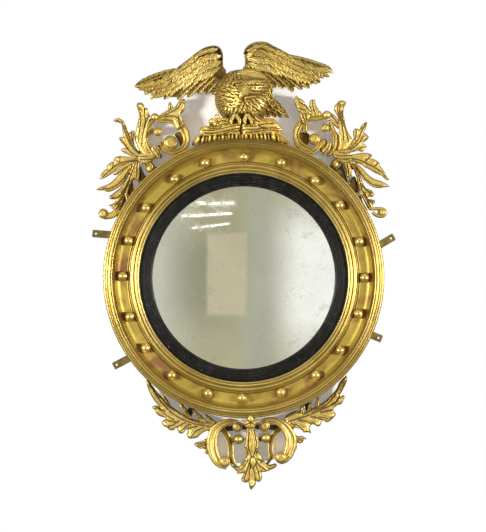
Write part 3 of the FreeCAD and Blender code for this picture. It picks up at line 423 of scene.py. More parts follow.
def strand(sh, rows, yb, yf, kind="leaf", flutes=4, depth=2.6, drop=None, lobes=0, lobe_amp=0.0,
           lift0=0.0, lift1=0.0, per=9, nu=33, under=0.80, arch=0.0):
    """A carved strand along its middle line. yb is its back, yf its crest, in mm (front is negative).
    kind leaf: flutes with a raised middle; scroll: two fillets round a hollow; round: a plain torus-like section. The
    flute channels, the scroll's quirks and hollow and the sides carry painted shade through cav."""
    c = smooth(rows, per)
    n = len(c)
    seg = [0.0]
    for i in range(1, n):
        seg.append(seg[-1] + math.hypot(c[i][0] - c[i - 1][0], c[i][1] - c[i - 1][1]))
    L = seg[-1] or 1.0
    verts, cav, uv, faces = [], [], [], []
    us = [-1 + 2 * k / (nu - 1) for k in range(nu)]
    for i, (x, z, w) in enumerate(c):
        a, b = c[max(i - 1, 0)], c[min(i + 1, n - 1)]
        dx, dz = b[0] - a[0], b[1] - a[1]
        m = math.hypot(dx, dz) or 1.0
        sx, sz = -dz / m, dx / m
        t = seg[i] / L
        w = max(w, 0.35)
        if lobes:
            w *= 1.0 + lobe_amp * (abs(math.sin(math.pi * lobes * t)) ** 0.7 - 0.6)
        th = abs(yf - yb)
        sc = min(1.0, (w / 6.0) ** 0.6)      # thin ends sink back
        crest = yf + lift0 * (1 - t) ** 2 + lift1 * t ** 2 + arch * math.sin(math.pi * t)
        d = (drop if drop is not None else 0.55 * w + 3.0)
        crest = yb + (crest - yb) * (0.55 + 0.45 * sc)
        for u in us:
            au = abs(u)
            g = 0.0
            if kind == "leaf":
                y = crest + d * au ** 1.7
                f = abs(math.sin(math.pi * flutes * (u + 1) / 2))
                fd = 1.25 * depth * min(1.0, w / 7.0)
                y -= fd * (1 - f ** 0.85) * (1 - 0.25 * au)
                g = f ** 3 * 0.84
                if lobes:
                    q = abs(math.sin(math.pi * (lobes * t - 0.55 * au)))
                    y -= 0.5 * fd * q ** 0.7 * au
                    g = max(g, (1 - q) ** 3 * au * 0.9)
                rib = math.exp(-(u / 0.16) ** 2)
                y -= 1.2 * rib * min(1.0, w / 6.0)
            elif kind == "scroll":
                # outer fillet, hollow, inner bead
                y = crest + d * 0.35 * au ** 6
                hollow = math.exp(-((u - 0.12) / 0.42) ** 2)
                y += depth * 1.5 * hollow
                bead = math.exp(-((u - 0.62) / 0.13) ** 2)
                y -= depth * 0.4 * bead
                quirk = math.exp(-((u + 0.45) / 0.07) ** 2) + math.exp(-((u - 0.42) / 0.06) ** 2)
                y += depth * 0.55 * quirk
                g = min(1.0, 0.85 * quirk + 0.10 * hollow)
            else:
                y = crest + d * (1 - math.sqrt(max(0.0, 1 - (au * 0.985) ** 2)))
            y += 0.5 * wob(x + sx * u * w, z + sz * u * w, 0.09, 1)
            y = min(y, yb - 1.0)
            verts.append((x + sx * u * w, y, z + sz * u * w))
            cav.append(g)
            uv.append((seg[i] * 0.01, 0.5 + 0.01 * u * w))
        ye = verts[-1][1]
        ys = verts[-nu][1]
        for u, y0 in ((1.0, ye), (1.0, yb), (-1.0, yb), (-1.0, ys)):
            k = under if y0 == yb else 1.0
            mid = y0 if y0 == yb else y0 + 0.45 * (yb - y0)
            kk = under if y0 == yb else 1.0 - 0.35 * (1 - under)
            verts.append((x + sx * u * w * kk, mid, z + sz * u * w * kk))
            cav.append(0.62 if y0 == yb else 0.34)
            uv.append((seg[i] * 0.01, 0.5 + 0.01 * u * w))
    row = nu + 4
    for i in range(n - 1):
        for k in range(row):
            a, b = i * row + k, i * row + (k + 1) % row
            faces.append((a, b, b + row, a + row))
    faces.append(tuple(range(row))[::-1])
    faces.append(tuple((n - 1) * row + k for k in range(row)))
    sh.add(verts, faces, cav, uv)


def turned(sh, cx, cz, prof, n=40, wobble=0.0, cavs=None):
    """Small turned or domed form facing the front: prof is (r, y) from the outside back to the centre."""
    verts, cav, faces = [], [], []
    for k in range(n):
        a = 2 * math.pi * k / n
        for j, (r, y) in enumerate(prof):
            rr = r * (1 + wobble * wob(math.cos(a) * 3 + cx * 0.1, math.sin(a) * 3 + cz * 0.1, 1.0, 3))
            verts.append((cx + rr * math.cos(a), y, cz + rr * math.sin(a)))
            cav.append(cavs[j] if cavs else 0.0)
    m = len(prof)
    for k in range(n):
        k2 = (k + 1) % n
        for j in range(m - 1):
            faces.append((k * m + j, k * m + j + 1, k2 * m + j + 1, k2 * m + j))
    faces.append(tuple(k * m for k in range(n)))
    faces.append(tuple(k * m + m - 1 for k in range(n))[::-1])
    sh.add(verts, faces, cav)


def boss(sh, x, z, r, yb, yf):
    """Volute eye: a turned button with a quirk round it and a soft dimple, painted with shade in the quirk and down its
    sides.
    """
    prof = [(r * 0.86, yb), (r * 0.98, yb - (yb - yf) * 0.5), (r, yf + r * 0.55), (r * 0.95, yf + r * 0.22), (r * 0.86, yf + r * 0.05),
            (r * 0.79, yf + 0.5), (r * 0.755, yf + 2.2), (r * 0.71, yf + 0.6), (r * 0.58, yf - 1.1), (r * 0.38, yf - 1.7), (r * 0.2, yf - 1.2), (0.02, yf - 0.9)]
    cv = [0.6, 0.4, 0.15, 0.0, 0.0, 0.3, 0.9, 0.3, 0.0, 0.0, 0.05, 0.1]
    turned(sh, x, z, prof, 36, 0.03, cv)


def berry(sh, x, z, r, yc):
    """Round bead, with painted shade on its back half where it meets the ground."""
    prof, cv = [], []
    for k in range(13):
        a = math.pi * k / 12
        prof.append((max(0.02, r * math.sin(a)), yc + r * math.cos(a)))
        cv.append(0.5 if k < 5 else 0.0)
    turned(sh, x, z, prof, 30, 0.04, cv)


def lathe(name, prof, mat, n=300, body=ROOT, replaces=(), cav=None, rough=0.0, deg=60):
    """Ring turned about the frame's axis from a closed (r, y) outline."""
    m = len(prof)
    verts, faces, cv, uv = [], [], [], []
    for k in range(n):
        a = 2 * math.pi * k / n
        ca, sa = math.cos(a), math.sin(a)
        for j, (r, y) in enumerate(prof):
            yy = y + (rough * wob(ca * 3.2, sa * 3.2, 1.9, 5) + 0.5 * rough * wob(ca * 11, sa * 11, 1.0, 6) if y < -31 else 0)
            verts.append((r * ca, yy, r * sa))
            cv.append(cav[j] if cav else 0.0)
            uv.append((k / n * 20, j / m))
    for k in range(n):
        k2 = (k + 1) % n
        for j in range(m):
            j2 = (j + 1) % m
            faces.append((k * m + j, k * m + j2, k2 * m + j2, k2 * m + j))
    sh = Shell()
    sh.add(verts, faces, cv, uv)
    ob = sh.build(name, mat, body, replaces)
    crisp(ob, deg)
    return ob


def reed_profile(pts, per=5):
    """Rounded outline through (r, y, cav) rows."""
    c = smooth(pts, per)
    return [(p[0], p[1]) for p in c], [min(1, max(0, p[2])) for p in c]


def seg_dist(P, line):
    """Least distance from each point to a broken line."""
    best = np.full(len(P), 1e9)
    for (ax, az), (bx, bz) in zip(line[:-1], line[1:]):
        vx, vz = bx - ax, bz - az
        t = np.clip(((P[:, 0] - ax) * vx + (P[:, 1] - az) * vz) / (vx * vx + vz * vz + 1e-9), 0, 1)
        best = np.minimum(best, np.hypot(P[:, 0] - ax - t * vx, P[:, 1] - az - t * vz))
    return best


def inside(P, ring):
    res = np.zeros(len(P), dtype=bool)
    n = len(ring)
    for i in range(n):
        ax, az = ring[i]
        bx, bz = ring[(i + 1) % n]
        if az == bz:
            continue
        hit = ((az > P[:, 1]) != (bz > P[:, 1])) & (P[:, 0] < (bx - ax) * (P[:, 1] - az) / (bz - az) + ax)
        res ^= hit
    return res


def soft_line(pts, closed=False, step=1.7):
    """Even points along a line whose corners are slightly eased."""
    n = len(pts)
    dense = []
    for i in range(n if closed else n - 1):
        b, c = pts[i], pts[(i + 1) % n]
        a = pts[i - 1] if closed or i else b
        d = pts[(i + 2) % n] if closed or i + 2 < n else c
        for k in range(8):
            t = k / 8
            q = []
            for j in (0, 1):
                cr = 0.5 * (2 * b[j] + (c[j] - a[j]) * t + (2 * a[j] - 5 * b[j] + 4 * c[j] - d[j]) * t * t + (3 * b[j] - a[j] - 3 * c[j] + d[j]) * t ** 3)
                q.append(0.65 * cr + 0.35 * (b[j] + (c[j] - b[j]) * t))
            dense.append(tuple(q))
    dense.append(pts[0] if closed else pts[-1])
    res = [dense[0]]
    acc = 0.0
    for p, q in zip(dense[:-1], dense[1:]):
        acc += math.hypot(q[0] - p[0], q[1] - p[1])
        if acc >= step:
            res.append(q)
            acc = 0.0
    if closed:
        if math.hypot(res[-1][0] - res[0][0], res[-1][1] - res[0][1]) < 0.6 * step:
            res.pop()
    elif res[-1] != dense[-1]:
        res.append(dense[-1])
    return res


def relief(sh, out, y0, cuts=(), ribs=(), drop=3.6, ew=2.4, thick=15.0, lifts=(), tilt=(0.0, 0.0), step=1.75, shade=0.0, cut_g=0.95, yb=None, swell=2.2, pare=None):
    """Carved leaf from its outline: rounded borders, veins cut in or standing up, and a solid thickness behind. Painted
    shade darkens the borders, the cuts and the shallower veins beside them, and shade adds painted shade all over.
    cuts and ribs hold (line, depth, width); lifts hold (x, z, height, radius) where the leaf curls forward."""
    from mathutils.geometry import delaunay_2d_cdt
    ring = soft_line(out, True, step)
    nb = len(ring)
    R = np.array(ring)
    lo, hi = R.min(axis=0), R.max(axis=0)
    g = []
    row = 0
    z = lo[1]
    while z < hi[1]:
        x = lo[0] + (0.5 * step if row % 2 else 0.0)
        while x < hi[0]:
            g.append((x + 0.12 * math.sin(x * 7.1 + z * 3.3), z + 0.12 * math.sin(x * 2.7 - z * 5.9)))
            x += step
        z += step * 0.87
        row += 1
    G = np.array(g)
    G = G[inside(G, ring)]
    loop = ring + [ring[0]]
    if len(G):
        G = G[seg_dist(G, loop) > 0.55 * step]
    extra = []
    for line, dep, wid in cuts:
        cl = soft_line(line, False, 1.5)
        keep = []
        for i, (x, z) in enumerate(cl):
            ax, az = cl[max(0, i - 1)]
            bx, bz = cl[min(len(cl) - 1, i + 1)]
            m = math.hypot(bx - ax, bz - az) or 1.0
            for o in (0.0, -1.6, 1.6):
                keep.append((x - (bz - az) / m * o + 0.01 * i, z + (bx - ax) / m * o + 0.013 * (i % 5)))
        K = np.array(keep)
        if len(extra):
            K = K[np.min(np.hypot(K[:, None, 0] - np.array(extra)[None, :, 0], K[:, None, 1] - np.array(extra)[None, :, 1]), axis=1) > 0.8]
        if len(K):
            K = K[inside(K, ring)]
        if len(K):
            K = K[seg_dist(K, loop) > 0.7]
        if len(G) and len(K):
            G = G[seg_dist(G, cl) > 1.6 + 0.5 * step]
        extra += [tuple(q) for q in K]
    if extra:
        G = np.vstack([G, np.array(extra)]) if len(G) else np.array(extra)
    P = [Vector(p) for p in ring] + [Vector((float(p[0]), float(p[1]))) for p in G]
    vs, es, fs = delaunay_2d_cdt(P, [(i, (i + 1) % nb) for i in range(nb)], [], 1, 1e-4)[:3]
    V = np.array([(v[0], v[1]) for v in vs])
    tri = []
    for f in fs:
        c = V[list(f)].mean(axis=0)
        tri.append(tuple(f))
    ok = inside(np.array([V[list(f)].mean(axis=0) for f in tri]), ring)
    tri = [f for f, k in zip(tri, ok) if k]
    used = sorted({i for f in tri for i in f})
    remap = {o: k for k, o in enumerate(used)}
    V = V[used]
    tri = [tuple(remap[i] for i in f) for f in tri]
    d = seg_dist(V, loop)
    y = y0 + drop * np.exp(-(d / ew) ** 1.3) - swell * (1 - np.exp(-d / 9.0))
    cx, cz = V.mean(axis=0)
    y = y + tilt[0] * (V[:, 0] - cx) + tilt[1] * (V[:, 1] - cz)
    c = 0.62 * np.exp(-(d / 1.6) ** 2) + shade
    for line, dep, wid in ribs:
        q = seg_dist(V, soft_line(line, False, 2.0))
        y = y - dep * np.exp(-(q / wid) ** 2)
        c = np.minimum(c, 1 - 0.8 * np.exp(-(q / wid) ** 2)) + 0.30 * np.exp(-((q - 1.7 * wid) / (0.6 * wid)) ** 2)
    for line, dep, wid in cuts:
        q = seg_dist(V, soft_line(line, False, 2.0))
        k = np.exp(-(q / wid) ** 2)
        # beside each vein runs a shallower one, out to the border of the leaf
        second = np.exp(-((q - 4.7) / 1.15) ** 2) * np.clip((d - 1.0) / 2.0, 0, 1) * np.clip(1 - c * 1.6, 0, 1)
        y = y + dep * k + 0.30 * dep * second - 0.22 * dep * np.exp(-((q - 2.3) / 1.1) ** 2)
        c = np.maximum(c, 0.62 * second)
        c = np.maximum(c, cut_g * np.exp(-(q / (1.15 * wid)) ** 2) * min(1.0, dep / 2.2))
    for lx, lz, h, r in lifts:
        y = y - h * np.exp(-((V[:, 0] - lx) ** 2 + (V[:, 1] - lz) ** 2) / r ** 2)
    y = y + 0.35 * np.array([wob(a, b, 0.11, 2) for a, b in V])
    back = (y0 + thick) if yb is None else yb
    y = np.minimum(y, back - 1.2)
    behind = np.full(len(V), float(back))
    if pare:
        # the back is pared away towards the tips, away from the places where the carving is fixed
        far = np.min([np.hypot(V[:, 0] - p[0], V[:, 1] - p[1]) for p in pare], axis=0)
        t = np.clip((far - 24.0) / 34.0, 0, 1)
        t = t * t * (3 - 2 * t)
        behind = behind + t * (np.maximum(y + 13.0, y0 + 11.0) - behind)
        behind = np.minimum(behind, back)
    n = len(V)
    # the sides slope in a little towards the back
    nx, nz = cx - V[:, 0], cz - V[:, 1]
    m = np.hypot(nx, nz) + 1e-6
    pull = np.minimum(1.2, 0.12 * m) * np.exp(-(d / 2.0))
    verts = [(float(V[i, 0]), float(y[i]), float(V[i, 1])) for i in range(n)]
    verts += [(float(V[i, 0] + nx[i] / m[i] * pull[i]), float(behind[i]), float(V[i, 1] + nz[i] / m[i] * pull[i])) for i in range(n)]
    faces = list(tri) + [(n + a, n + e, n + b) for a, b, e in tri]
    cnt = {}
    for a, b, e in tri:
        for p, q in ((a, b), (b, e), (e, a)):
            key = (min(p, q), max(p, q))
            cnt[key] = None if key in cnt else (p, q)
    for e in cnt.values():
        if e:
            faces.append((e[1], e[0], n + e[0], n + e[1]))
    sh.add(verts, faces, list(np.clip(c, 0, 1)) + [0.8] * n, [(0.0, 0.5)] * (2 * n))

# ------------------------------------------------------------------ round frame
RINGS = []
# outer rim: hollow step, then broad and narrow reeds, with painted shade in the quirks between them
rp, rc = reed_profile([
    (304.4, -31.0, .6), (304.4, -61.4, .4), (306.0, -62.4, .35), (307.4, -65.4, .2), (308.6, -68.4, .0), (310.2, -69.4, .0), (311.2, -68.6, .5),
    (311.8, -69.0, .6), (312.6, -72.4, .1), (314.4, -74.6, .0), (316.4, -74.6, .0), (318.0, -73.0, .1), (318.8, -70.4, .45), (319.4, -69.8, .65),
    (320.2, -70.6, .4), (321.4, -71.4, .1), (322.6, -70.8, .3), (323.2, -69.2, .7), (324.0, -70.4, .3), (325.4, -72.4, .0), (327.0, -72.4, .0),
    (328.6, -70.8, .0), (329.4, -68.0, .1), (329.6, -64.0, .2), (329.2, -52.0, .25), (327.8, -42.0, .4), (325.0, -36.0, .5), (324.2, -31.0, .5)], 4)
RINGS.append(lathe("rim_reeded", rp, M_RING, 360, replaces=["outer_reeded_rim"], cav=rc, rough=0.5))
# cavetto, with painted shade where it meets the mouldings on either side
cp, cc = reed_profile([
    (272.6, -31.0, .6), (272.7, -46.6, .35), (275.0, -47.0, .10), (279.0, -47.2, .05), (285.0, -47.4, .0), (290.0, -48.2, .0), (294.4, -50.0, .0),
    (298.0, -53.0, .0), (300.6, -56.8, .05), (302.2, -60.4, .3), (303.2, -62.4, .3), (303.8, -62.2, .4), (303.8, -31.0, .7)], 5)
COVE = lathe("cavetto_gilt", cp, M_COVE, 720, replaces=["cavetto_ring"], cav=cc, rough=0.7)
RINGS.append(COVE)
BALLS_AT = []
for k in range(20):
    a = math.radians(90 + 18 * k + 0.9 * math.sin(k * 2.3))
    rr = 284.0 + 1.2 * math.sin(k * 1.7)
    BALLS_AT.append((rr * math.cos(a), rr * math.sin(a)))


def paint_ball_shadows(ob):
    """Painted shadows in the hollow beside each ball: a level band as tall as the ball, deepest next to it."""
    me = ob.data
    at = me.attributes["cav"]
    num = len(me.vertices)
    co = np.zeros(num * 3, dtype=np.float32)
    me.vertices.foreach_get("co", co)
    co = co.reshape(-1, 3) / MM
    c = np.zeros(num, dtype=np.float32)
    at.data.foreach_get("value", c)
    for i, (bx, bz) in enumerate(BALLS_AT):
        dx, dz = co[:, 0] - bx, co[:, 2] - bz
        flat = abs(bx) / 284.0
        h = 12.5 - 1.5 * (1 - flat)
        up = np.clip((h - np.abs(dz)) / 3.0, 0, 1)
        reach = 15.0 + 14.0 * flat
        side = np.clip((reach - np.abs(dx)) / 5.0, 0, 1)
        near = np.clip((15.5 - np.hypot(dx, dz)) / 3.5, 0, 1)
        c = np.maximum(c, np.maximum((0.62 + 0.28 * flat) * up * side, 0.7 * near) * (co[:, 1] < -44))
    at.data.foreach_set("value", c)


paint_ball_shadows(COVE)
# sight moulding: two bold reeds and a small step against the slip, with painted shade in the quirks
sp, sc_ = reed_profile([
    (252.2, -31.0, .6), (252.2, -45.8, .6), (246.4, -46.2, .6), (246.0, -49.0, .3), (246.4, -52.2, .1), (247.8, -53.6, .0), (249.4, -53.4, .1),
    (250.2, -51.9, .65), (251.0, -53.0, .4), (252.4, -55.2, .0), (254.4, -56.2, .0), (256.4, -55.2, .0), (257.6, -53.0, .5), (258.4, -51.8, .68),
    (259.2, -53.0, .4), (261.0, -55.2, .0), (263.4, -55.9, .0), (265.6, -55.0, .0), (267.2, -52.8, .2), (268.4, -50.2, .3), (270.0, -48.8, .4),
    (271.6, -48.2, .35), (271.8, -31.0, .7)], 5)
RINGS.append(lathe("sight_reeds", sp, M_RING, 300, replaces=["sight_moulding"], cav=sc_, rough=0.5))
# black slip with three fine reeds
bp, bc = reed_profile([
    (229.2, -31.0, .6), (251.2, -31.0, .6), (251.2, -45.4, .4), (244.6, -45.7, .0), (242.6, -44.2, .9), (241.0, -45.6, .1), (237.6, -46.1, .0),
    (235.4, -44.4, .9), (233.6, -45.5, .1), (230.8, -45.3, .0), (229.0, -43.4, .9), (227.4, -44.4, .1), (224.4, -43.9, .0), (222.6, -41.8, .9),
    (221.0, -42.6, .1), (218.6, -41.4, .0), (216.9, -39.2, .2), (216.7, -36.6, .4), (229.2, -36.6, .6)], 5)
RINGS.append(lathe("slip_ebonised", bp, M_EBONY, 300, replaces=["ebonised_slip"], cav=bc, rough=0.25))

# convex glass
GR, RISE, EDGE = 228.0, 24.7, -33.5
SPH = (GR ** 2 + RISE ** 2) / (2 * RISE)
CROWN = EDGE - RISE
gv, gf = [], []
NR, NA = 64, 180
for j in range(NR + 1):
    r = max(0.05, GR * j / NR)
    y = CROWN + SPH - math.sqrt(SPH ** 2 - r * r)
    for k in range(NA):
        a = 2 * math.pi * k / NA
        x, z = r * math.cos(a), r * math.sin(a)
        gv.append((x, y + 0.10 * wob(x, z, 0.012, 8), z))
for j in range(NR + 1):
    r = max(0.05, GR * (NR - j) / NR)
    y = CROWN + SPH - math.sqrt(SPH ** 2 - r * r) + 3.9
    for k in range(NA):
        a = 2 * math.pi * k / NA
        gv.append((r * math.cos(a), y, r * math.sin(a)))
rows_n = 2 * (NR + 1)
for j in range(rows_n - 1):
    for k in range(NA):
        k2 = (k + 1) % NA
        gf.append((j * NA + k, j * NA + k2, (j + 1) * NA + k2, (j + 1) * NA + k))
gf.append(tuple(range(NA)))
gf.append(tuple((rows_n - 1) * NA + k for k in range(NA))[::-1])
sh = Shell()
sh.add(gv, gf, [0.0] * len(gv))
GLASS = sh.build("mirror_plate", M_MIRROR, replaces=["convex_mirror_glass"])
crisp(GLASS, 50)

# twenty turned balls on their seats, with painted shade low down next to the seat
sh = Shell()
for cx, cz in BALLS_AT:
    R = 11.4
    prof, cv = [], []
    prof.append((7.4, -47.0)); cv.append(0.95)
    for j in range(3, 19):
        t = math.pi * j / 18
        prof.append((max(0.02, R * math.sin(t)), -57.0 + R * math.cos(t)))
        cv.append(0.9 if j < 5 else (0.4 if j < 7 else 0.0))
    turned(sh, cx, cz, prof, 40, 0.035, cv)
BALLS = sh.build("gilt_balls", M_BALL, replaces=["ball_studs"])


def paint(node, mat):
    ob = NODES[node]
    if not ob.material_slots:
        ob.data.materials.append(mat)
    for s in ob.material_slots:
        s.material = mat


for nd in ("frame_back_ring", "glazing_blocks", "eagle_dowels"):
    paint(nd, M_PINE_D)
for nd in ("backboard_plank_upper", "backboard_plank_middle", "backboard_plank_lower"):
    paint(nd, M_PINE)
for nd in ("left_bracket", "right_bracket", "crest_plate", "apron_plate"):
    paint(nd, M_IRON)
for nd in ("left_bracket_screws", "right_bracket_screws", "crest_plate_screws", "apron_plate_screws", "rim_screws",
           "backboard_screws", "strap_pivot_screws"):
    paint(nd, M_SCREW)
for nd in ("wall_strap_upper_left", "wall_strap_upper_right", "wall_strap_lower_left", "wall_strap_lower_right"):
    paint(nd, M_STRAP)

# ------------------------------------------------------------------ side ornaments
YB = -5.2


def scrollwork(name, node, strands, bosses, berries, plates=(), pare=None):
    s = Shell()
    for st in strands:
        rows, yf, kind, fl, dp = st[:5]
        opt = st[5] if len(st) > 5 else {}
        strand(s, rows, YB, yf, kind, fl, dp, **opt)
    for x, z, r, yf in bosses:
        boss(s, x, z, r, YB, yf)
    for x, z, r, yc in berries:
        berry(s, x, z, r, yc)
    for out, yf, veins, opt in plates:
        o = dict(opt)
        dep, wid = o.pop("vein", (3.6, 1.7))
        o.setdefault("yb", YB)
        o.setdefault("pare", pare)
        relief(s, out, yf, cuts=[(line, dep, wid) for line in veins], **o)
    ob = s.build(name, M_GILT, replaces=[node])
    crisp(ob, 62)
    return ob


def at(px, h, r):
    return px[0], px[1], h, r


CARVED = []
CARVED.append(scrollwork("scroll_left", "left_scroll",
    [([(-209.6, 377.6, 7.5), (-196.7, 374.4, 8.2), (-177.9, 372.9, 8.5), (-159.1, 368.2, 9.9), (-145, 354.1, 10.8),
      (-136.5, 337.7, 8.7), (-135.1, 321.2, 7.5), (-142.6, 307.1, 7.1), (-156.3, 299.2, 6.6), (-170.8, 296.8, 6.1),
      (-184.9, 301, 5.6), (-192.5, 310.4, 4.7), (-192.9, 321.2, 3.1)], -40.0, "scroll", 0, 2.6, dict(nu=41)),
     ([(-213.1, 372.9, 6.1), (-224.9, 360, 7.1), (-231.5, 344.7, 7.3), (-232.9, 325.9, 7.1), (-227.2, 307.1, 7.5),
      (-216.7, 293, 7.1), (-203.7, 283.6, 3.8)], -36.0, "leaf", 3, 2.8, {}),
     ([(-229.6, 325.9, 4.2), (-224.2, 340, 5.2), (-214.6, 346.6, 5.4), (-203.7, 346.2, 6.1)], -33.0, "leaf", 2, 2.2, {})],
    [(-172.7, 319.1, 17.2) + (-43.0,), (-202.8, 345.2, 10.6) + (-37.0,)],
    [(-209.9, 379.1, 9.2) + (-36.0,)],
    [([(-199, 383.5), (-189.6, 389.4), (-180.2, 395), (-177.9, 400), (-178.8, 404.7), (-177, 411.7), (-174.1, 415.2),
     (-170.8, 412), (-168, 406.8), (-167.6, 401.1), (-163.8, 401.6), (-159.1, 407), (-155.3, 412.9),
     (-150.6, 418.5), (-145, 421.4), (-138.9, 421.4), (-137, 416.4), (-138.9, 408.2), (-138.4, 402.6),
     (-141.2, 395.5), (-147.3, 390.3), (-148.8, 386.1), (-145, 380), (-142.2, 372.9), (-140.3, 365.9),
     (-139.4, 358.8), (-142.6, 354.1), (-148.3, 352.7), (-153, 348), (-160, 350.9), (-163.8, 358.8),
     (-167.1, 366.8), (-177.9, 371.5), (-192, 373.9)], -43.0,
      [[(-196.7, 380.9), (-182.6, 385.6), (-168.5, 391.7), (-156.7, 398.8), (-147.3, 410.5), (-141.2, 418.5)], [(-194.3, 378.1), (-177.9, 380.9), (-163.8, 380.9), (-152, 373.9), (-145.9, 362.1)], [(-173.2, 409.1), (-171.8, 399.7), (-176.5, 391.7)], [(-154.4, 382.3), (-153, 370.6), (-150.6, 358.8)]],
      dict(lifts=[at((-141.7, 416.7), 5, 9), at((-145.9, 358.8), 4, 8)])),
     ([(-217.8, 309.5), (-209.6, 312.8), (-201.4, 309.5), (-195.3, 301.3), (-192, 293), (-192.5, 286),
     (-196.7, 280.1), (-203.7, 283.6), (-210.8, 291.6), (-216.4, 297.7), (-219.3, 303.9)], -40.0,
      [[(-211.7, 307.1), (-206.1, 297.7), (-200, 286.9)], [(-204.7, 307.6), (-199, 298.7), (-195.3, 288.3)]], {}),
     ([(-211.7, 295.4), (-224.9, 302.4), (-239, 297.7), (-248.4, 289.3), (-250.7, 279.9), (-243.7, 270.5),
     (-229.6, 268.6), (-217.8, 274.2), (-209.4, 283.6)], -38.0,
      [[(-213.1, 287.4), (-229.6, 285.1), (-246, 286.9)], [(-215.5, 279.9), (-229.6, 278), (-244.6, 278.9)], [(-220.2, 296.3), (-231.9, 293), (-241.3, 293.5)]], {}),
     ([(-163.8, 338.6), (-154.4, 344.7), (-142.6, 341), (-138.9, 330.6), (-140.3, 314.2), (-148.3, 307.1),
     (-153, 321.2), (-157.7, 330.6)], -24.0, [], dict(shade=0.8))]))
CARVED.append(scrollwork("scroll_right", "right_scroll",
    [([(194.6, 382.3, 7.5), (174.6, 378.1, 7.3), (153.5, 374.8, 7.5), (138.4, 367.3, 7.5), (128.5, 354.6, 7.8),
      (124.3, 341.5, 7.5), (124.8, 328.3, 7.8), (130.4, 316.1, 8.7), (140.8, 307.1, 9.2), (152.5, 301.5, 8.5),
      (163.8, 299.6, 7.1), (172.7, 305.7, 6.6), (178.4, 315.1, 5.6), (179.8, 325.9, 3.8)], -40.0, "scroll", 0, 2.6, dict(nu=41)),
     ([(204.7, 368.2, 5.6), (211, 347.8, 6.1), (216.9, 335.3, 6.6), (218.3, 322.4, 6.6), (216.9, 309.5, 6.6),
      (209.9, 296.8, 6.1), (198.1, 287.9, 3.8)], -36.0, "leaf", 3, 2.8, {}),
     ([(219.3, 330.6, 4.2), (214.1, 343.6, 5.2), (205.2, 352.7, 5.4), (193.4, 354.1, 6.1)], -33.0, "leaf", 2, 2.2, {}),
     ([(204.2, 388, 3.1), (216, 377.2, 3.5), (226.3, 364.5, 2.8)], -40.0, "round", 0, 0, dict(nu=9)),
     ([(202.3, 375.3, 3.1), (214.1, 365.9, 3.3), (225.4, 354.1, 2.8)], -40.0, "round", 0, 0, dict(nu=9))],
    [(167.3, 327.4, 14.1) + (-43.0,), (192.5, 354.1, 10.3) + (-37.0,)],
    [(196.2, 384.2, 10.1) + (-36.0,)],
    [([(124.3, 428.9), (130, 423.7), (138.9, 419.9), (142.6, 414.8), (146.4, 408.7), (151.6, 402.3), (155.3, 397.2),
     (160.5, 391.7), (160.5, 384.7), (146.4, 384.7), (137.5, 385.9), (132.5, 390.8), (127.4, 397.2), (124.3, 403.5),
     (121, 409.8), (119.1, 417.4), (121, 423.7)], -43.0,
      [[(125.3, 422.3), (132.5, 412.4), (143.8, 407.3), (151.6, 398.3)], [(130, 399.7), (137, 396.4), (145.2, 394.6)]], dict(lifts=[at((125.3, 422.3), 5, 9)])),
     ([(155.8, 416.2), (159.3, 419.9), (167.6, 419.9), (168, 417.6), (170.4, 407.3), (174.1, 400.9), (178.6, 393.4),
     (183.1, 391.7), (181.7, 380), (167.6, 378.6), (157.7, 378.1), (154.6, 389.4), (160.3, 397.2), (154.6, 406.1)], -39.0,
      [[(161.9, 415.2), (163.8, 401.1), (169, 387)]], dict(lifts=[at((161.9, 416.2), 4, 7)])),
     ([(132.3, 390.6), (141.7, 388), (155.8, 387.5), (157, 377.6), (151.1, 371.5), (147.3, 364.5), (142.6, 360.3),
     (138.4, 365.9), (133.7, 375.3), (132.3, 383.3)], -46.0,
      [[(137, 387), (141.7, 375.3), (144.1, 364.5)], [(146.4, 385.6), (147.8, 376.2), (145.9, 367.3)]], {}),
     ([(138.9, 363.5), (145.5, 365), (150.6, 361.2), (151.1, 351.8), (150.2, 342.9), (144.1, 341.5), (138.9, 343.8),
     (137.5, 354.1)], -40.0, [[(144.1, 361.2), (144.5, 344.7)]], {}),
     ([(131.4, 342.4), (144.1, 343.3), (153.5, 341.5), (155.8, 330.6), (153.5, 318.9), (146.4, 311.8), (135.6, 318.9),
     (130.9, 330.6)], -24.0, [], dict(shade=0.8)),
     ([(200.9, 326.4), (206.6, 322.4), (207, 309.7), (202.1, 298.4), (186.8, 289.1), (184.5, 302.2), (194.6, 312.3)], -38.0, [[(202.8, 321.2), (199.5, 306.2), (188.7, 294)]], {}),
     ([(180.7, 321.2), (186.4, 328.3), (194.3, 327.4), (197.2, 316.5), (191.1, 303.4), (180.7, 297.7)], -28.0, [], dict(shade=0.35)),
     ([(211.3, 295.4), (224, 302.4), (240.4, 300.1), (249.8, 293), (255.9, 283.6), (251.2, 272.8), (235.7, 269.5),
     (223, 275.2), (213.6, 283.6)], -38.0,
      [[(214.6, 289.3), (231, 286.9), (249.8, 288.8)], [(218.3, 281.3), (233.4, 279.4), (251.2, 280.4)], [(224, 296.3), (235.7, 294.5), (245.1, 295.4)]], {})]))
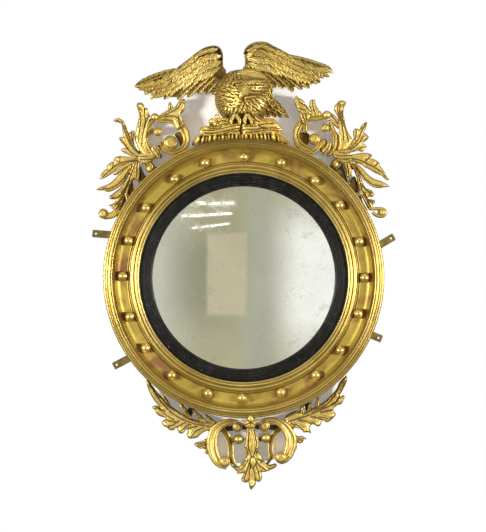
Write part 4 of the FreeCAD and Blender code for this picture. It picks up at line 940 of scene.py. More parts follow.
CARVED.append(scrollwork("leaves_upper_left", "left_upper_leaves",
    [], [], [],
    [([(-222.5, 283.6), (-236.6, 288.3), (-246, 300.1), (-251.9, 311.8), (-256.6, 323.6), (-257.3, 333),
     (-255.4, 344.7), (-251.9, 358.8), (-248.4, 372.9), (-247.2, 387), (-249.6, 396.4), (-252.4, 404.7),
     (-251.9, 410.5), (-247.2, 412.9), (-240.2, 412.9), (-236.2, 409.1), (-234.3, 403.5), (-233.1, 398.8),
     (-231.5, 401.1), (-228.2, 400.7), (-225.8, 396.4), (-225.4, 389.4), (-222.5, 385.9), (-221.1, 383.5),
     (-220.2, 377.6), (-223.7, 368.2), (-226.1, 358.8), (-228.4, 349.4), (-230.8, 335.3), (-231.5, 321.2),
     (-229.6, 307.1), (-224.9, 297.7), (-217.8, 290.7), (-209.6, 286), (-215.5, 282.5)], -40.0,
      [[(-233.8, 400), (-233.1, 382.3), (-231.9, 368.2), (-235.5, 349.4), (-239, 330.6), (-240.2, 311.8)], [(-243.7, 389.4), (-242.5, 370.6), (-244.9, 351.8), (-247.2, 333), (-247.2, 318.9)], [(-221.4, 384.7), (-228.4, 372.9), (-230.8, 365.9), (-233.1, 356.5)], [(-254.3, 333), (-256.4, 323.6), (-253.1, 309.5), (-247.2, 300.1)]],
      dict(lifts=[at((-244.2, 405.8), 6, 9)])),
     ([(-307.6, 371.5), (-302.4, 375.3), (-295.4, 376.7), (-288.3, 373.9), (-282.5, 368.2), (-278.9, 360),
     (-275.9, 350.6), (-271.9, 342.4), (-267.2, 344.7), (-262.5, 347.6), (-258.3, 345.7), (-257.3, 340),
     (-258.7, 333), (-259.7, 323.6), (-257.8, 314.2), (-253.1, 304.8), (-246, 296.6), (-236.6, 289.5),
     (-224.9, 284.8), (-215.5, 284.6), (-209.6, 286), (-220.2, 281.3), (-234.3, 280.4), (-250.7, 282.2),
     (-267.2, 286.9), (-276.6, 292.1), (-283.6, 295.4), (-289.5, 300.1), (-289.3, 303.9), (-283.6, 306.2),
     (-278.9, 306.2), (-284.8, 314.2), (-290.7, 321.2), (-294.9, 329.2), (-293, 332.5), (-287.2, 332.1),
     (-284.1, 334.4), (-286, 344.7), (-287.9, 356.5), (-290.7, 365), (-297.7, 368.7), (-303.6, 369.2)], -34.0,
      [[(-288.3, 368.2), (-282.5, 351.8), (-276.6, 335.3), (-269.5, 318.9), (-257.8, 302.4), (-241.3, 289.8),
     (-220.2, 285.1)], [(-280.1, 361.2), (-274.2, 344.7), (-268.4, 325.9), (-260.1, 309.5), (-246, 295.4)], [(-276.6, 307.1), (-264.8, 295.4), (-250.7, 286)], [(-291.9, 327.1), (-281.3, 316.5), (-274.2, 304.8)], [(-264.8, 343.6), (-263.7, 330.6), (-259, 316.5)]],
      dict(lifts=[at((-300.1, 372.9), 5, 8), at((-261.6, 344.7), 4, 6)]))], pare=[(-229.6, 295.4), (-248.4, 286)]))
CARVED.append(scrollwork("leaves_upper_right", "right_upper_leaves",
    [], [], [],
    [([(221.1, 412.4), (224.9, 416.9), (232.4, 418.1), (240.2, 415.5), (241.3, 411), (238.1, 406.1), (236.2, 398.3),
     (235, 385.9), (238.1, 373.2), (240.2, 361.7), (242.5, 354.1), (246.3, 342.9), (251.5, 335.1), (256.6, 325),
     (249.8, 309.5), (240.4, 300.1), (228.7, 297.7), (221.6, 302.4), (225.1, 318.9), (224, 337.7), (224.9, 356.5),
     (223.7, 375.3), (219.7, 385.9), (214.8, 394.6), (212.9, 398.3), (214.8, 406.1)], -40.0,
      [[(223.7, 411), (221.1, 398.3), (223.7, 385.9), (227.5, 370.6)], [(227.5, 408.7), (226.1, 394.6), (228, 381.9), (231.2, 365.4), (233.8, 347.1), (235.7, 323.6)], [(232.4, 393.4), (232.4, 378.1), (237.6, 360.5), (242.8, 342.4), (246.5, 323.6)]],
      dict(lifts=[at((230.1, 412.9), 6, 9)])),
     ([(290.7, 368), (290.7, 360.5), (286.9, 349), (283.6, 344), (290.7, 337.7), (295.6, 331.4), (290.7, 325),
     (281.8, 317.5), (284.4, 316.1), (290.7, 311.1), (286.9, 304.8), (281.8, 297.3), (273.1, 299.6), (259, 296.8),
     (247.7, 294), (235, 290.7), (221.1, 284.6), (209.6, 288.3), (219.3, 296.3), (232.4, 302.2), (242.8, 311.8),
     (256.6, 323.8), (260.4, 332.5), (259, 341.5), (259, 349), (265.3, 352.3), (274.2, 350.4), (276.8, 357.9),
     (284.4, 365.4)], -36.0,
      [[(288.1, 364.2), (278, 345.2), (270.5, 327.6), (260.4, 314.9), (247.7, 304.8), (232.4, 299.6)], [(281.8, 335.1), (274.2, 320.1), (262.7, 309.7), (251.5, 302.2)], [(289.5, 309.7), (270.5, 304.8), (259, 297.3), (247.7, 292.1)], [(265.3, 349.4), (265.3, 337.7), (261.6, 325.9)]],
      dict(lifts=[at((287.4, 363.5), 5, 8), at((292.1, 331.6), 4, 6), at((263.4, 349.4), 4, 6)]))], pare=[(233.4, 300.1), (249.8, 286)]))
CARVED.append(scrollwork("leaves_lower_left", "left_lower_leaves",
    [([(-264.8, 271, 3.8), (-278.9, 264.8, 4.7), (-290.7, 256.4, 4.7), (-302.4, 247.5, 4.2), (-308.1, 245.1, 2.4)], -38.0, "round", 0, 0, dict(nu=9)),
     ([(-293, 158.2, 4.2), (-304.8, 148.3, 5.2), (-318, 144.1, 5.6), (-330.6, 142.6, 5.2)], -33.0, "round", 0, 0, dict(nu=9)),
     ([(-236.6, 277.5, 5.2), (-224.9, 272.8, 7.1), (-216.9, 262.5, 6.6), (-218.8, 250.7, 4.7)], -33.0, "leaf", 3, 2.4, {})],
    [(-331.6, 151.3, 12) + (-36.0,)], [(-221.6, 257.8, 10.3) + (-26.0,)],
    [([(-241.3, 277.5), (-257.8, 275.2), (-269.5, 272.8), (-281.3, 269.5), (-290.7, 264.4), (-300.1, 256.4),
     (-309.5, 247.9), (-317.7, 242.3), (-327.1, 236.6), (-334.2, 233.4), (-342.4, 232.4), (-338.2, 236.6),
     (-337.7, 242.3), (-334.4, 248.4), (-328.8, 254.5), (-321.2, 259.2), (-323.6, 262), (-321.7, 266.3),
     (-315.4, 271.9), (-306.2, 275.7), (-306.7, 281.3), (-302.4, 285.1), (-295.4, 287.4), (-287.2, 287.4),
     (-281.3, 286.5), (-271.9, 286), (-257.8, 283.6), (-243.7, 281.3)], -33.0,
      [[(-243.7, 278), (-267.2, 275.7), (-288.3, 271), (-304.8, 262.5), (-318.9, 250.7), (-333, 237.6)], [(-293, 284.6), (-291.6, 277.5), (-295.4, 270.5)], [(-308.6, 271.9), (-308.1, 264.8), (-310.4, 257.8)]],
      dict(lifts=[at((-303.9, 282.2), 4, 6), at((-336.3, 236.6), 4, 7)])),
     ([(-264.8, 264.8), (-268.6, 253.1), (-274.2, 241.3), (-281.3, 229.6), (-288.3, 220.2), (-297.7, 212.2),
     (-307.1, 207), (-314.2, 203.7), (-322.4, 202.3), (-331.6, 205.6), (-339.1, 205.6), (-347.1, 206.1),
     (-347.6, 208.4), (-342.4, 211.7), (-333.9, 215.5), (-323.6, 219.3), (-314.2, 224.4), (-307.1, 230.5),
     (-300.1, 238.1), (-296.8, 242.8), (-291.6, 247), (-286.9, 251.7), (-282.7, 256.4), (-276.6, 260.1),
     (-269.5, 266.3)], -37.0,
      [[(-269.5, 257.8), (-281.3, 236.6), (-296.3, 220.2), (-314.2, 210.8), (-337.7, 207.5)]], dict(lifts=[at((-342.4, 208.4), 4, 7)])),
     ([(-246, 275.7), (-244.6, 267.2), (-246.5, 257.8), (-247, 248.4), (-245.1, 239), (-249.3, 228.2),
     (-256.4, 234.3), (-261.6, 231), (-265.8, 222.5), (-269.5, 213.1), (-272.8, 203.7), (-275.7, 195.3),
     (-272.8, 186.4), (-271, 182.6), (-275.7, 181.2), (-278.9, 188.2), (-280.8, 197.2), (-282.2, 189.6),
     (-285.1, 180.2), (-288.3, 170.8), (-291.2, 160.5), (-295.4, 155.3), (-302.4, 148.3), (-310.4, 143.6),
     (-319.8, 143.1), (-328.3, 147.3), (-318.9, 153), (-311.8, 155.8), (-306.2, 162.4), (-312.8, 163.3),
     (-311.8, 168), (-319.8, 169.4), (-315.6, 172.7), (-308.6, 175.1), (-303.4, 180.2), (-304.3, 184.5),
     (-312.8, 184.9), (-318, 187.8), (-316.5, 193.4), (-310.9, 197.2), (-303.9, 202.8), (-295.4, 209.4),
     (-288.3, 217.8), (-281.3, 228.7), (-274.2, 240.4), (-268.6, 253.1), (-264.8, 264.8), (-260.1, 274.2)], -32.0,
      [[(-255.4, 271.9), (-260.1, 257.8), (-266.3, 241.3), (-272.8, 224.9), (-279.9, 208.4), (-284.6, 194.3),
     (-293, 175.5), (-301.5, 159.1)], [(-250.7, 271.9), (-251.2, 253.1), (-251.7, 236.6)], [(-279.9, 210.8), (-288.3, 197.6), (-297.7, 188.2), (-309.5, 187.3)], [(-286.9, 189.6), (-295.4, 178.8), (-303.4, 171.8)], [(-270, 229.6), (-275.7, 213.1), (-280.4, 199)]],
      dict(lifts=[at((-314.2, 189.6), 4, 6), at((-315.1, 170.4), 3, 5)])),
     ([(-243.7, 264.8), (-239.9, 253.1), (-234.3, 242.3), (-227.7, 233.8), (-236.6, 222.5), (-245.1, 214.1),
     (-251.2, 210.8), (-249.3, 222.5), (-247, 236.6), (-246.5, 253.1)], -14.0, [], dict(shade=0.62)),
     ([(-280.8, 194.3), (-279.9, 182.6), (-280.4, 170.8), (-285.1, 159.1), (-291.6, 155.3), (-291.6, 168.5),
     (-287.4, 182.6)], -14.0, [], dict(shade=0.62)),
     ([(-265.3, 229.6), (-262.5, 220.2), (-261.6, 210.8), (-260.1, 201.4), (-264.8, 192), (-269.5, 187.3),
     (-274.2, 196.7), (-273.3, 210.8)], -14.0, [], dict(shade=0.62))], pare=[(-243.7, 276.6), (-281.3, 192)]))
CARVED.append(scrollwork("leaves_lower_right", "right_lower_leaves",
    [([(296.8, 162.9, 3.8), (306.2, 162.4, 3.8), (318, 162.9, 4.2), (330.6, 161, 4.2), (335.3, 153, 4.2),
      (328.8, 145.9, 4.2), (316.5, 146.4, 4.2), (304.8, 153.9, 3.3)], -34.0, "round", 0, 0, dict(nu=9)),
     ([(234.8, 284.6, 4.7), (224.9, 281.3, 6.6), (217.8, 274.2, 6.6), (214.6, 260.1, 5.2)], -33.0, "leaf", 3, 2.4, {})],
    [(326.4, 154.4, 9.9) + (-33.0,)], [(216, 268.1, 10.8) + (-26.0,)],
    [([(240.4, 276.1), (259, 275.4), (265.1, 273.5), (275.4, 269.3), (281.5, 265.3), (285.5, 261.1), (293.8, 257.1),
     (302, 253.1), (310.2, 247.9), (319.4, 243.7), (328.5, 239.7), (335.8, 232.4), (345, 229.6), (336.8, 239.7),
     (334.9, 246.8), (328.5, 256.2), (321.5, 265.3), (321.9, 269.3), (316.3, 275.4), (307.1, 280.6), (298.9, 282.7),
     (303.6, 287.9), (299.9, 292.3), (291.6, 294.9), (281.5, 295.4), (273.3, 294), (254.5, 290.7), (238.1, 286)], -33.0,
      [[(240.4, 282.2), (256.9, 280.6), (273.3, 277.5), (291.6, 269.3), (309.3, 260.1), (323.6, 249.8), (334.9, 238.5)], [(300.1, 290.7), (295.4, 282.2), (287.4, 276.6)], [(319.4, 272.8), (314.7, 267.2), (309.5, 262.5)]],
      dict(lifts=[at((300.6, 289.3), 4, 6), at((339.1, 235.2), 4, 7)])),
     ([(259, 270.5), (265.1, 263.2), (273.3, 248.9), (280.4, 234.5), (284.6, 230.5), (291.6, 224.2), (299.9, 218.1),
     (309.3, 212.9), (320.3, 211), (330.6, 212.9), (345, 215), (334.9, 222.3), (323.6, 228.4), (310.2, 232.4),
     (299.9, 238.5), (291.6, 245.8), (285.5, 253.1), (278.5, 260.1), (266.3, 271.9)], -38.0,
      [[(263, 266.3), (274.2, 248.9), (285.5, 234.5), (295.9, 225.4), (306.2, 218.1), (325, 216.4)]], dict(lifts=[at((336.8, 216.9), 4, 7)])),
     ([(247.5, 276.6), (259, 259.2), (263, 251), (267.2, 238.5), (268.1, 224.2), (269.8, 215), (271.2, 208),
     (270.2, 197.6), (272.4, 190.6), (277.3, 195.5), (282.5, 187.3), (288.6, 175.1), (294.9, 162.9), (302, 159.8),
     (306.2, 163.8), (304.1, 168), (306.2, 174.1), (310.2, 176.2), (310.2, 182.4), (302, 185.4), (293.8, 186.4),
     (295.9, 191.5), (304.1, 190.6), (309.3, 194.6), (307.1, 198.6), (304.1, 204.9), (295.9, 208.9), (288.6, 212),
     (283.9, 219), (280.6, 228.4), (273.3, 248.4), (263.9, 263.7), (254.5, 276.6)], -32.0,
      [[(256.9, 269.5), (268.6, 248.4), (274.2, 227.2), (278, 210.8), (284.1, 194.3), (293, 177.9), (299.2, 167.1)], [(280.4, 220.2), (288.8, 207.5), (300.6, 199)], [(284.1, 201.4), (293.5, 183.5), (303.9, 179.3)]],
      dict(lifts=[at((303.9, 194.3), 4, 6), at((306.2, 177.9), 3, 5)])),
     ([(236.4, 282.7), (235.5, 273.5), (236.4, 262.3), (242.5, 251), (243.7, 241.6), (245.6, 234.5), (244.6, 224.2),
     (251.7, 219.3), (250.7, 228.4), (251.7, 240.6), (256.9, 251.9), (253.8, 262.3), (250.7, 271.4), (244.6, 278.5)], -30.0,
      [[(241.3, 276.6), (246, 257.8), (248.4, 239), (248.4, 224.9)]], {}),
     ([(234.3, 273.5), (235.5, 262.3), (240.4, 251.9), (242.5, 241.6), (244.6, 233.6), (244.6, 224.2), (238.5, 228.4),
     (226.1, 241.6), (212.9, 254), (221.1, 257.1), (228.2, 262.3), (232.4, 270.5)], -14.0, [], dict(shade=0.62)),
     ([(259, 239.2), (265.1, 239.2), (269.1, 224.2), (270.7, 212.9), (271.4, 204.9), (266, 199.8), (259, 206.8),
     (250.7, 215), (251.7, 227.2)], -14.0, [], dict(shade=0.62)),
     ([(275.4, 197.2), (283.6, 178.1), (291.6, 165), (295.9, 158.6), (288.6, 165), (274.2, 186.4)], -14.0, [], dict(shade=0.62))], pare=[(245.1, 276.6), (282.7, 196.7)]))

# ------------------------------------------------------------------ apron
CARVED.append(scrollwork("apron_spray_left", "apron_left_leaf_spray", [], [], [],
    [([(-229.6, -239), (-224, -245.1), (-216.4, -255.4), (-208.4, -266.3), (-200, -276.6), (-192, -285.1),
     (-185.9, -292.1), (-177.9, -300.6), (-168.5, -307.6), (-159.1, -313.3), (-149.7, -320.3), (-135.6, -329.2),
     (-121.5, -335.8), (-105, -340.5), (-88.6, -342.4), (-74.5, -344.3), (-65.1, -345.2), (-65.1, -352.3),
     (-76.8, -358.8), (-86.2, -361.7), (-95.6, -365.9), (-102.7, -372), (-109.7, -378.1), (-117.7, -380),
     (-126.2, -380.5), (-131.8, -378.1), (-133.7, -372), (-131.8, -364), (-133.2, -357.9), (-137, -361.2),
     (-141.7, -366.4), (-147.3, -368.7), (-153, -367.3), (-155.3, -361.2), (-158.2, -354.6), (-161, -356),
     (-164.7, -360.3), (-170.8, -361.2), (-177, -358.8), (-181.2, -354.6), (-188.2, -350.9), (-192.9, -345.2),
     (-192.5, -339.1), (-184, -335.8), (-185.9, -331.1), (-193.4, -329.2), (-201.4, -325.9), (-207.5, -318.9),
     (-209.9, -312.3), (-215.5, -308.6), (-216.9, -304.8), (-208.4, -302.9), (-198.1, -307.1), (-203.7, -299.6),
     (-210.8, -291.2), (-217.8, -280.4), (-224, -267.7), (-228.2, -254.5)], -34.0,
      [[(-220.2, -252.2), (-208.4, -271), (-196.7, -289.8), (-182.6, -306.2), (-168.5, -320.3), (-149.7, -332.1),
     (-126.2, -342.4), (-102.7, -348.5), (-74.5, -350.9)], [(-215.5, -254.5), (-196.7, -280.4), (-173.2, -303.9), (-154.4, -318), (-126.2, -334.4), (-90.9, -345.2)], [(-199, -308.6), (-189.6, -319.4), (-177.9, -328.8), (-163.8, -335.8)], [(-183.5, -335.3), (-170.8, -340), (-156.7, -341.5)], [(-157.7, -354.6), (-148.8, -347.6), (-137.9, -342.9)], [(-132.3, -357.9), (-121.5, -353.2), (-107.4, -350.9)], [(-206.1, -306.2), (-196.7, -310.9), (-187.3, -314.7)], [(-177.9, -350.9), (-166.1, -348), (-152, -339.1)], [(-147.3, -361.7), (-135.6, -350.9), (-123.8, -346.2)], [(-123.8, -374.4), (-112.1, -362.6), (-95.6, -354.6)]],
      dict(lifts=[at((-224.9, -249.8), 4, 8), at((-182.6, -348.5), 3, 6), at((-147.3, -362.6), 3, 6), at((-123.8, -374.4), 3, 6)])),
     ([(-153, -292.1), (-145.9, -298.2), (-138.9, -306.2), (-132.3, -315.6), (-126.2, -325.9), (-122.4, -334.4),
     (-132.3, -331.6), (-140.3, -325), (-146.4, -315.6), (-151.1, -304.8)], -31.0, [[(-149.7, -299.2), (-140.3, -313.3), (-130, -327.4)]], dict(vein=(2.8, 1.5))),
     ([(-121.5, -312.3), (-113.5, -316.1), (-105, -322.7), (-96.6, -331.1), (-90.9, -341.5), (-102.7, -341),
     (-111.2, -333), (-117.7, -323.6)], -31.0, [[(-116.8, -317), (-107.4, -327.4), (-98.9, -337.7)]], dict(vein=(2.8, 1.5))),
     ([(-95.6, -321.7), (-87.7, -325), (-79.2, -330.6), (-69.8, -338.2), (-62.7, -346.2), (-74.5, -346.2),
     (-84.8, -338.2), (-91.9, -330.6)], -31.0, [[(-90.9, -327.4), (-81.5, -335.3), (-72.1, -342.4)]], dict(vein=(2.8, 1.5))),
     ([(-194.8, -276.6), (-187.3, -281.3), (-180.2, -289.8), (-173.7, -300.6), (-182.6, -296.8), (-190.6, -288.3)], -31.0, [], {})], pare=[(-83.9, -348.5), (-140.3, -339.1), (-182.6, -315.6)]))
CARVED.append(scrollwork("apron_spray_right", "apron_right_leaf_spray", [], [], [],
    [([(239.9, -233.8), (243.2, -230.5), (244.4, -242.5), (239.9, -254.5), (234.5, -264.4), (230.3, -272.8),
     (227, -278.2), (231.2, -281.5), (236.9, -278.2), (240.6, -280.6), (239, -284.8), (235.7, -288.1),
     (234.5, -293.5), (229.1, -300.1), (223.7, -300.6), (218.3, -304.3), (214.1, -307.6), (211.7, -312.1),
     (215, -317.5), (218.3, -322.9), (214.1, -329.2), (208.7, -334.6), (202.1, -340.3), (195.5, -342.4),
     (191.3, -339.1), (186.8, -337), (183.5, -342.4), (181.4, -348.7), (176, -352), (170.6, -349.9),
     (165.2, -346.6), (159.8, -347.8), (155.3, -356.5), (159.8, -369.4), (155.3, -366.1), (149, -365.2),
     (141.2, -366.1), (138.2, -360.7), (131.6, -357.4), (122.9, -354.4), (115.4, -354.4), (104.1, -352),
     (98.9, -342.4), (96.8, -334.6), (96.8, -331.6), (101.3, -326.2), (110.9, -320.5), (120.8, -316.3),
     (132.3, -318), (141.7, -321.7), (153.5, -315.6), (165.2, -308.6), (178.1, -301.5), (186.8, -296.8),
     (200.9, -286), (212.9, -272.8), (219.5, -264.4), (224, -254.5), (228.7, -245.1), (234.8, -238.1)], -34.0,
      [[(105.5, -340.3), (122.9, -334.6), (140.3, -329.2), (159.8, -322.9), (179.3, -313), (197.6, -305.5),
     (214.1, -296.8), (224.9, -282.7), (231.2, -266.5), (237.8, -247.9)], [(159.8, -320.5), (172.7, -313), (186.8, -305.5), (202.8, -292.1), (216.9, -273.3)], [(177.2, -329.2), (190.1, -331.6), (198.8, -334.4)], [(227.7, -281.3), (219.3, -292.1), (207.5, -299.2)], [(212.2, -312.3), (198.1, -314.7), (181.7, -318.9)], [(185.4, -336.8), (172.3, -330.6), (158.2, -328.8)], [(159.6, -347.1), (146.4, -339.1), (130, -336.8)], [(138.4, -358.8), (125.3, -348.5), (111.2, -345.2)]],
      dict(lifts=[at((240.4, -240.4), 4, 8), at((209.9, -327.4), 3, 6), at((177, -347.6), 3, 6), at((151.1, -362.6), 3, 6)])),
     ([(134.2, -305.5), (140.3, -302.9), (145.7, -302.2), (145, -307.6), (143.6, -313), (143.1, -320.3),
     (143.6, -329.7), (133.2, -329.7), (132.3, -318), (132.8, -310.9)], -31.0, [[(140.3, -306.2), (138.9, -315.6), (138.4, -325)]], dict(vein=(2.8, 1.5))),
     ([(153.2, -298.9), (157.2, -296.3), (161.9, -294.7), (160.5, -301.5), (158.2, -308.6), (159.1, -318),
     (155.8, -325), (148.8, -322.7), (149.7, -313.3), (151.1, -306.2)], -31.0, [[(157.7, -299.2), (155.3, -308.6), (154.4, -318)]], dict(vein=(2.8, 1.5))),
     ([(172.7, -286), (175.1, -283.6), (178.4, -282.7), (179.3, -289.8), (180.2, -296.8), (178.4, -306.2),
     (169.9, -310.9), (168.5, -303.9), (170.8, -294.5)], -31.0, [[(176, -287.4), (174.6, -296.8), (173.2, -306.2)]], dict(vein=(2.8, 1.5)))], pare=[(108.8, -334.4), (160.5, -325), (202.8, -306.2)]))
CARVED.append(scrollwork("apron_scroll_left", "apron_left_scroll",
    [([(-13.4, -342.9, 5.2), (-34.5, -341, 7.5), (-54.5, -348.5, 9.6), (-67.9, -362.6, 11.5), (-73.6, -381.4, 12.7),
      (-73.6, -404.9, 12.7), (-67, -424.6, 11.8), (-55.2, -438.7, 10.3), (-39.2, -445.8, 7.1)], -40.0, "scroll", 0, 2.6, dict(nu=41)),
     ([(-53.3, -354.6, 4.7), (-40.2, -372, 6.6), (-31.7, -395.5, 7.1), (-30.3, -419, 6.6), (-26.1, -435.5, 6.1),
      (-14.8, -451, 2.8)], -33.0, "leaf", 2, 2.8, {}),
     ([(-32.2, -388.5, 4.2), (-22.8, -383.8, 5.6), (-11, -381.4, 7.1), (-0.2, -386.1, 4.2)], -33.0, "leaf", 2, 2.4, {})],
    [(-44.4, -434.5, 13.2) + (-44.0,), (-14.3, -352.3, 12.2) + (-44.0,)], [(-12.5, -381.4, 11.5) + (-38.0,)],
    [([(-78, -381.4), (-85.1, -381.4), (-91.9, -381.4), (-95.6, -385.2), (-102.7, -388), (-109.7, -389.4),
     (-115.4, -391.3), (-117.3, -394.1), (-112.1, -398.8), (-106.5, -403), (-102.7, -404.9), (-97.1, -404),
     (-91.9, -405.4), (-89.5, -404.4), (-92.4, -408.7), (-91.9, -414.3), (-87.7, -417.1), (-82.5, -419),
     (-78.3, -422.8), (-72.1, -433.1), (-67.4, -428.4), (-72.1, -409.6), (-74.5, -393.2)], -31.0,
      [[(-87.2, -386.1), (-98, -391.7), (-109.7, -394.1)], [(-85.3, -392.2), (-94.7, -396.9), (-103.6, -400.2)], [(-88.6, -394.1), (-89.5, -403.5)], [(-84.8, -402.6), (-87.7, -411)]], dict(lifts=[at((-109.7, -394.6), 4, 6)])),
     ([(-32.2, -437.8), (-29.8, -444.9), (-18.1, -455.7), (-9.6, -462.2), (-1.6, -459), (0.7, -451.9), (7.8, -442.5),
     (10.1, -433.1), (3.1, -432.2), (-4, -440.2), (-12, -448.6), (-20.4, -447.2), (-25.1, -440.2)], -38.0, [[(-25.1, -444.9), (-13.4, -454.3), (-1.6, -447.2), (5.4, -436.9)]], {})]))
CARVED.append(scrollwork("apron_scroll_right", "apron_right_scroll",
    [([(46.5, -337.2, 5.2), (68.9, -337.2, 7.5), (87.7, -344.3, 9.6), (102.2, -359.3, 11.5), (111.2, -378.1, 13.2),
      (111.6, -396.4, 13.2), (106, -414.8, 11.8), (96.1, -427.9, 9.9), (84.4, -434.5, 6.6)], -40.0, "scroll", 0, 2.6, dict(nu=41)),
     ([(77.3, -364, 6.6), (67.9, -377.6, 6.1), (63.2, -400.2, 5.9), (64.6, -421.4, 5.6), (55.7, -441.1, 2.8)], -33.0, "leaf", 2, 2.8, {}),
     ([(66.5, -381.4, 4.2), (57.1, -378.6, 6.1), (45.4, -379.1, 6.6), (37.4, -386.1, 3.8)], -33.0, "leaf", 2, 2.4, {}),
     ([(86.2, -352.3, 4.7), (83, -359.3, 5.6), (75.9, -365, 6.1)], -29.0, "leaf", 2, 2.0, {})],
    [(87.7, -425.1, 13.9) + (-44.0,), (48.6, -349.9, 13.9) + (-44.0,)], [(52.4, -378.1, 11.5) + (-38.0,)],
    [([(115.9, -373.4), (122, -372.9), (127.6, -374.4), (132.3, -375.8), (140.8, -375.3), (144.1, -378.1),
     (148.3, -379.1), (148.8, -381.4), (143.1, -382.8), (140.3, -387), (138.4, -389.9), (133.2, -392.7),
     (128.5, -390.8), (124.8, -392.2), (126.2, -397.9), (125.7, -403.5), (122.9, -407.3), (119.1, -409.6),
     (115.9, -414.3), (112.1, -419.9), (107.4, -427), (100.8, -431.7), (94.7, -433.1), (104.1, -409.6),
     (113.5, -386.1)], -31.0,
      [[(122, -379.1), (130, -381.4), (140.8, -380)], [(122.9, -383.8), (127.1, -389.4), (132.3, -390.8)], [(121.5, -395.5), (120.1, -404.9)]], dict(lifts=[at((143.1, -380), 4, 6)])),
     ([(43, -433.1), (50.1, -436.9), (57.1, -442.5), (64.2, -443.9), (73.6, -441.1), (79.2, -442.5), (73.6, -449.6),
     (64.2, -454.3), (52.4, -458), (40.7, -458.5), (33.6, -447.2)], -38.0, [[(43, -442.5), (54.8, -450.5), (66.5, -449.6), (75.9, -443.9)]], {})]))
CARVED.append(scrollwork("apron_pendant", "apron_pendant_leaf",
    [([(18.1, -355.6, 3.5), (19.5, -390.8, 4.5), (20, -409.6, 4), (21.9, -421.4, 2.8)], -47.0, "round", 0, 0, dict(nu=11, drop=3.5))], [], [],
    [([(8.7, -351.8), (25.6, -351.8), (28.4, -362.6), (32.7, -376.7), (36, -388.5), (35, -400.2), (32.2, -408.7),
     (37.4, -414.3), (42.5, -422.8), (43.9, -430.8), (37.4, -431.7), (44.4, -436.9), (51, -442.5), (57.1, -448.6),
     (58.5, -454.3), (51, -458), (42.1, -458.5), (43.5, -466), (43, -474.5), (37.4, -481), (31.7, -481.5),
     (28.9, -478.7), (28.9, -486.2), (25.1, -491.9), (20.4, -497.5), (17.6, -500.3), (13.9, -495.6), (12.5, -488.1),
     (11, -481.5), (5.4, -483.4), (-1.6, -481.5), (-5.9, -477.3), (-4.9, -473.1), (-1.6, -467.9), (0.7, -461.3),
     (-7.3, -462.2), (-14.3, -462.2), (-16.7, -456.6), (-8.7, -451), (-1.6, -442.5), (4, -434.5), (3.1, -427),
     (8.7, -420.9), (4, -411), (2.1, -399.3), (4.5, -383.8), (6.3, -367.3)], -43.0,
      [[(12.5, -357.9), (11.5, -381.4), (10.6, -397.9), (14.8, -412), (18.1, -421.4)], [(24.2, -357.9), (28, -376.7), (30.3, -393.2), (26.6, -409.6), (23.3, -421.4)], [(10.1, -430.8), (3.1, -442.5), (-6.3, -453.3), (-13.4, -459)], [(14.8, -435.5), (9.2, -449.6), (4.5, -463.7), (0.7, -475.4)], [(17.2, -440.2), (13.9, -459), (12, -477.8)], [(28.9, -433.1), (37.4, -443.9), (50.1, -453.3)], [(26.1, -437.8), (32.7, -454.3), (37.8, -473.1)], [(21.9, -447.2), (26.1, -463.7), (27.5, -477.8)], [(5.4, -400.2), (9.2, -414.3)], [(33.6, -402.6), (29.8, -414.3)]],
      dict(lifts=[at((-1.6, -475.4), 4, 6), at((38.3, -475.4), 4, 6), at((18.6, -489.5), 4, 6)])),
     ([(16.2, -424.6), (22.3, -420.4), (28.4, -425.6), (29.8, -435.5), (26.6, -444.9), (21.4, -451), (16.7, -442.5),
     (14.3, -433.1)], -48.5, [], dict(yb=-38.0, drop=3.4, shade=0.35))], pare=[(17.2, -381.4), (17.2, -423.7)]))

# flower with five broad points where the scrolls meet
sh = Shell()
FLW = [(17.2, -320.8), (22.3, -326.4), (25.6, -333), (31.3, -332.1), (37.4, -335.3), (32.7, -340.5), (27.5, -346.2),
     (25.1, -351.8), (17.2, -354.1), (7.8, -351.8), (2.1, -346.2), (-6.3, -338.6), (-0.7, -334.4), (6.3, -333.5),
     (9.2, -327.4), (12.5, -322.2)]
FX, FZ = (16.2, -337.7)
spokes = [(24.7, -332.5), (27, -345.2), (16.7, -352.3), (3.5, -345.7), (8.7, -332.5)]
relief(sh, FLW, -80.6, cuts=[([(FX, FZ), p], 2.2, 1.5) for p in spokes], drop=3.4, thick=4.8, step=1.3, shade=0.16,
       lifts=[(FX, FZ, 2.6, 3.6)])
relief(sh, [(FX + 11 * math.cos(0.5 * k), FZ - 8 + 7 * math.sin(0.5 * k)) for k in range(12)], -75.0, thick=36.0, drop=1.0, shade=0.5)
FLOWER = sh.build("star_flower", M_GILT, replaces=["apron_flower"])
crisp(FLOWER, 62)

# ------------------------------------------------------------------ eagle on its rock


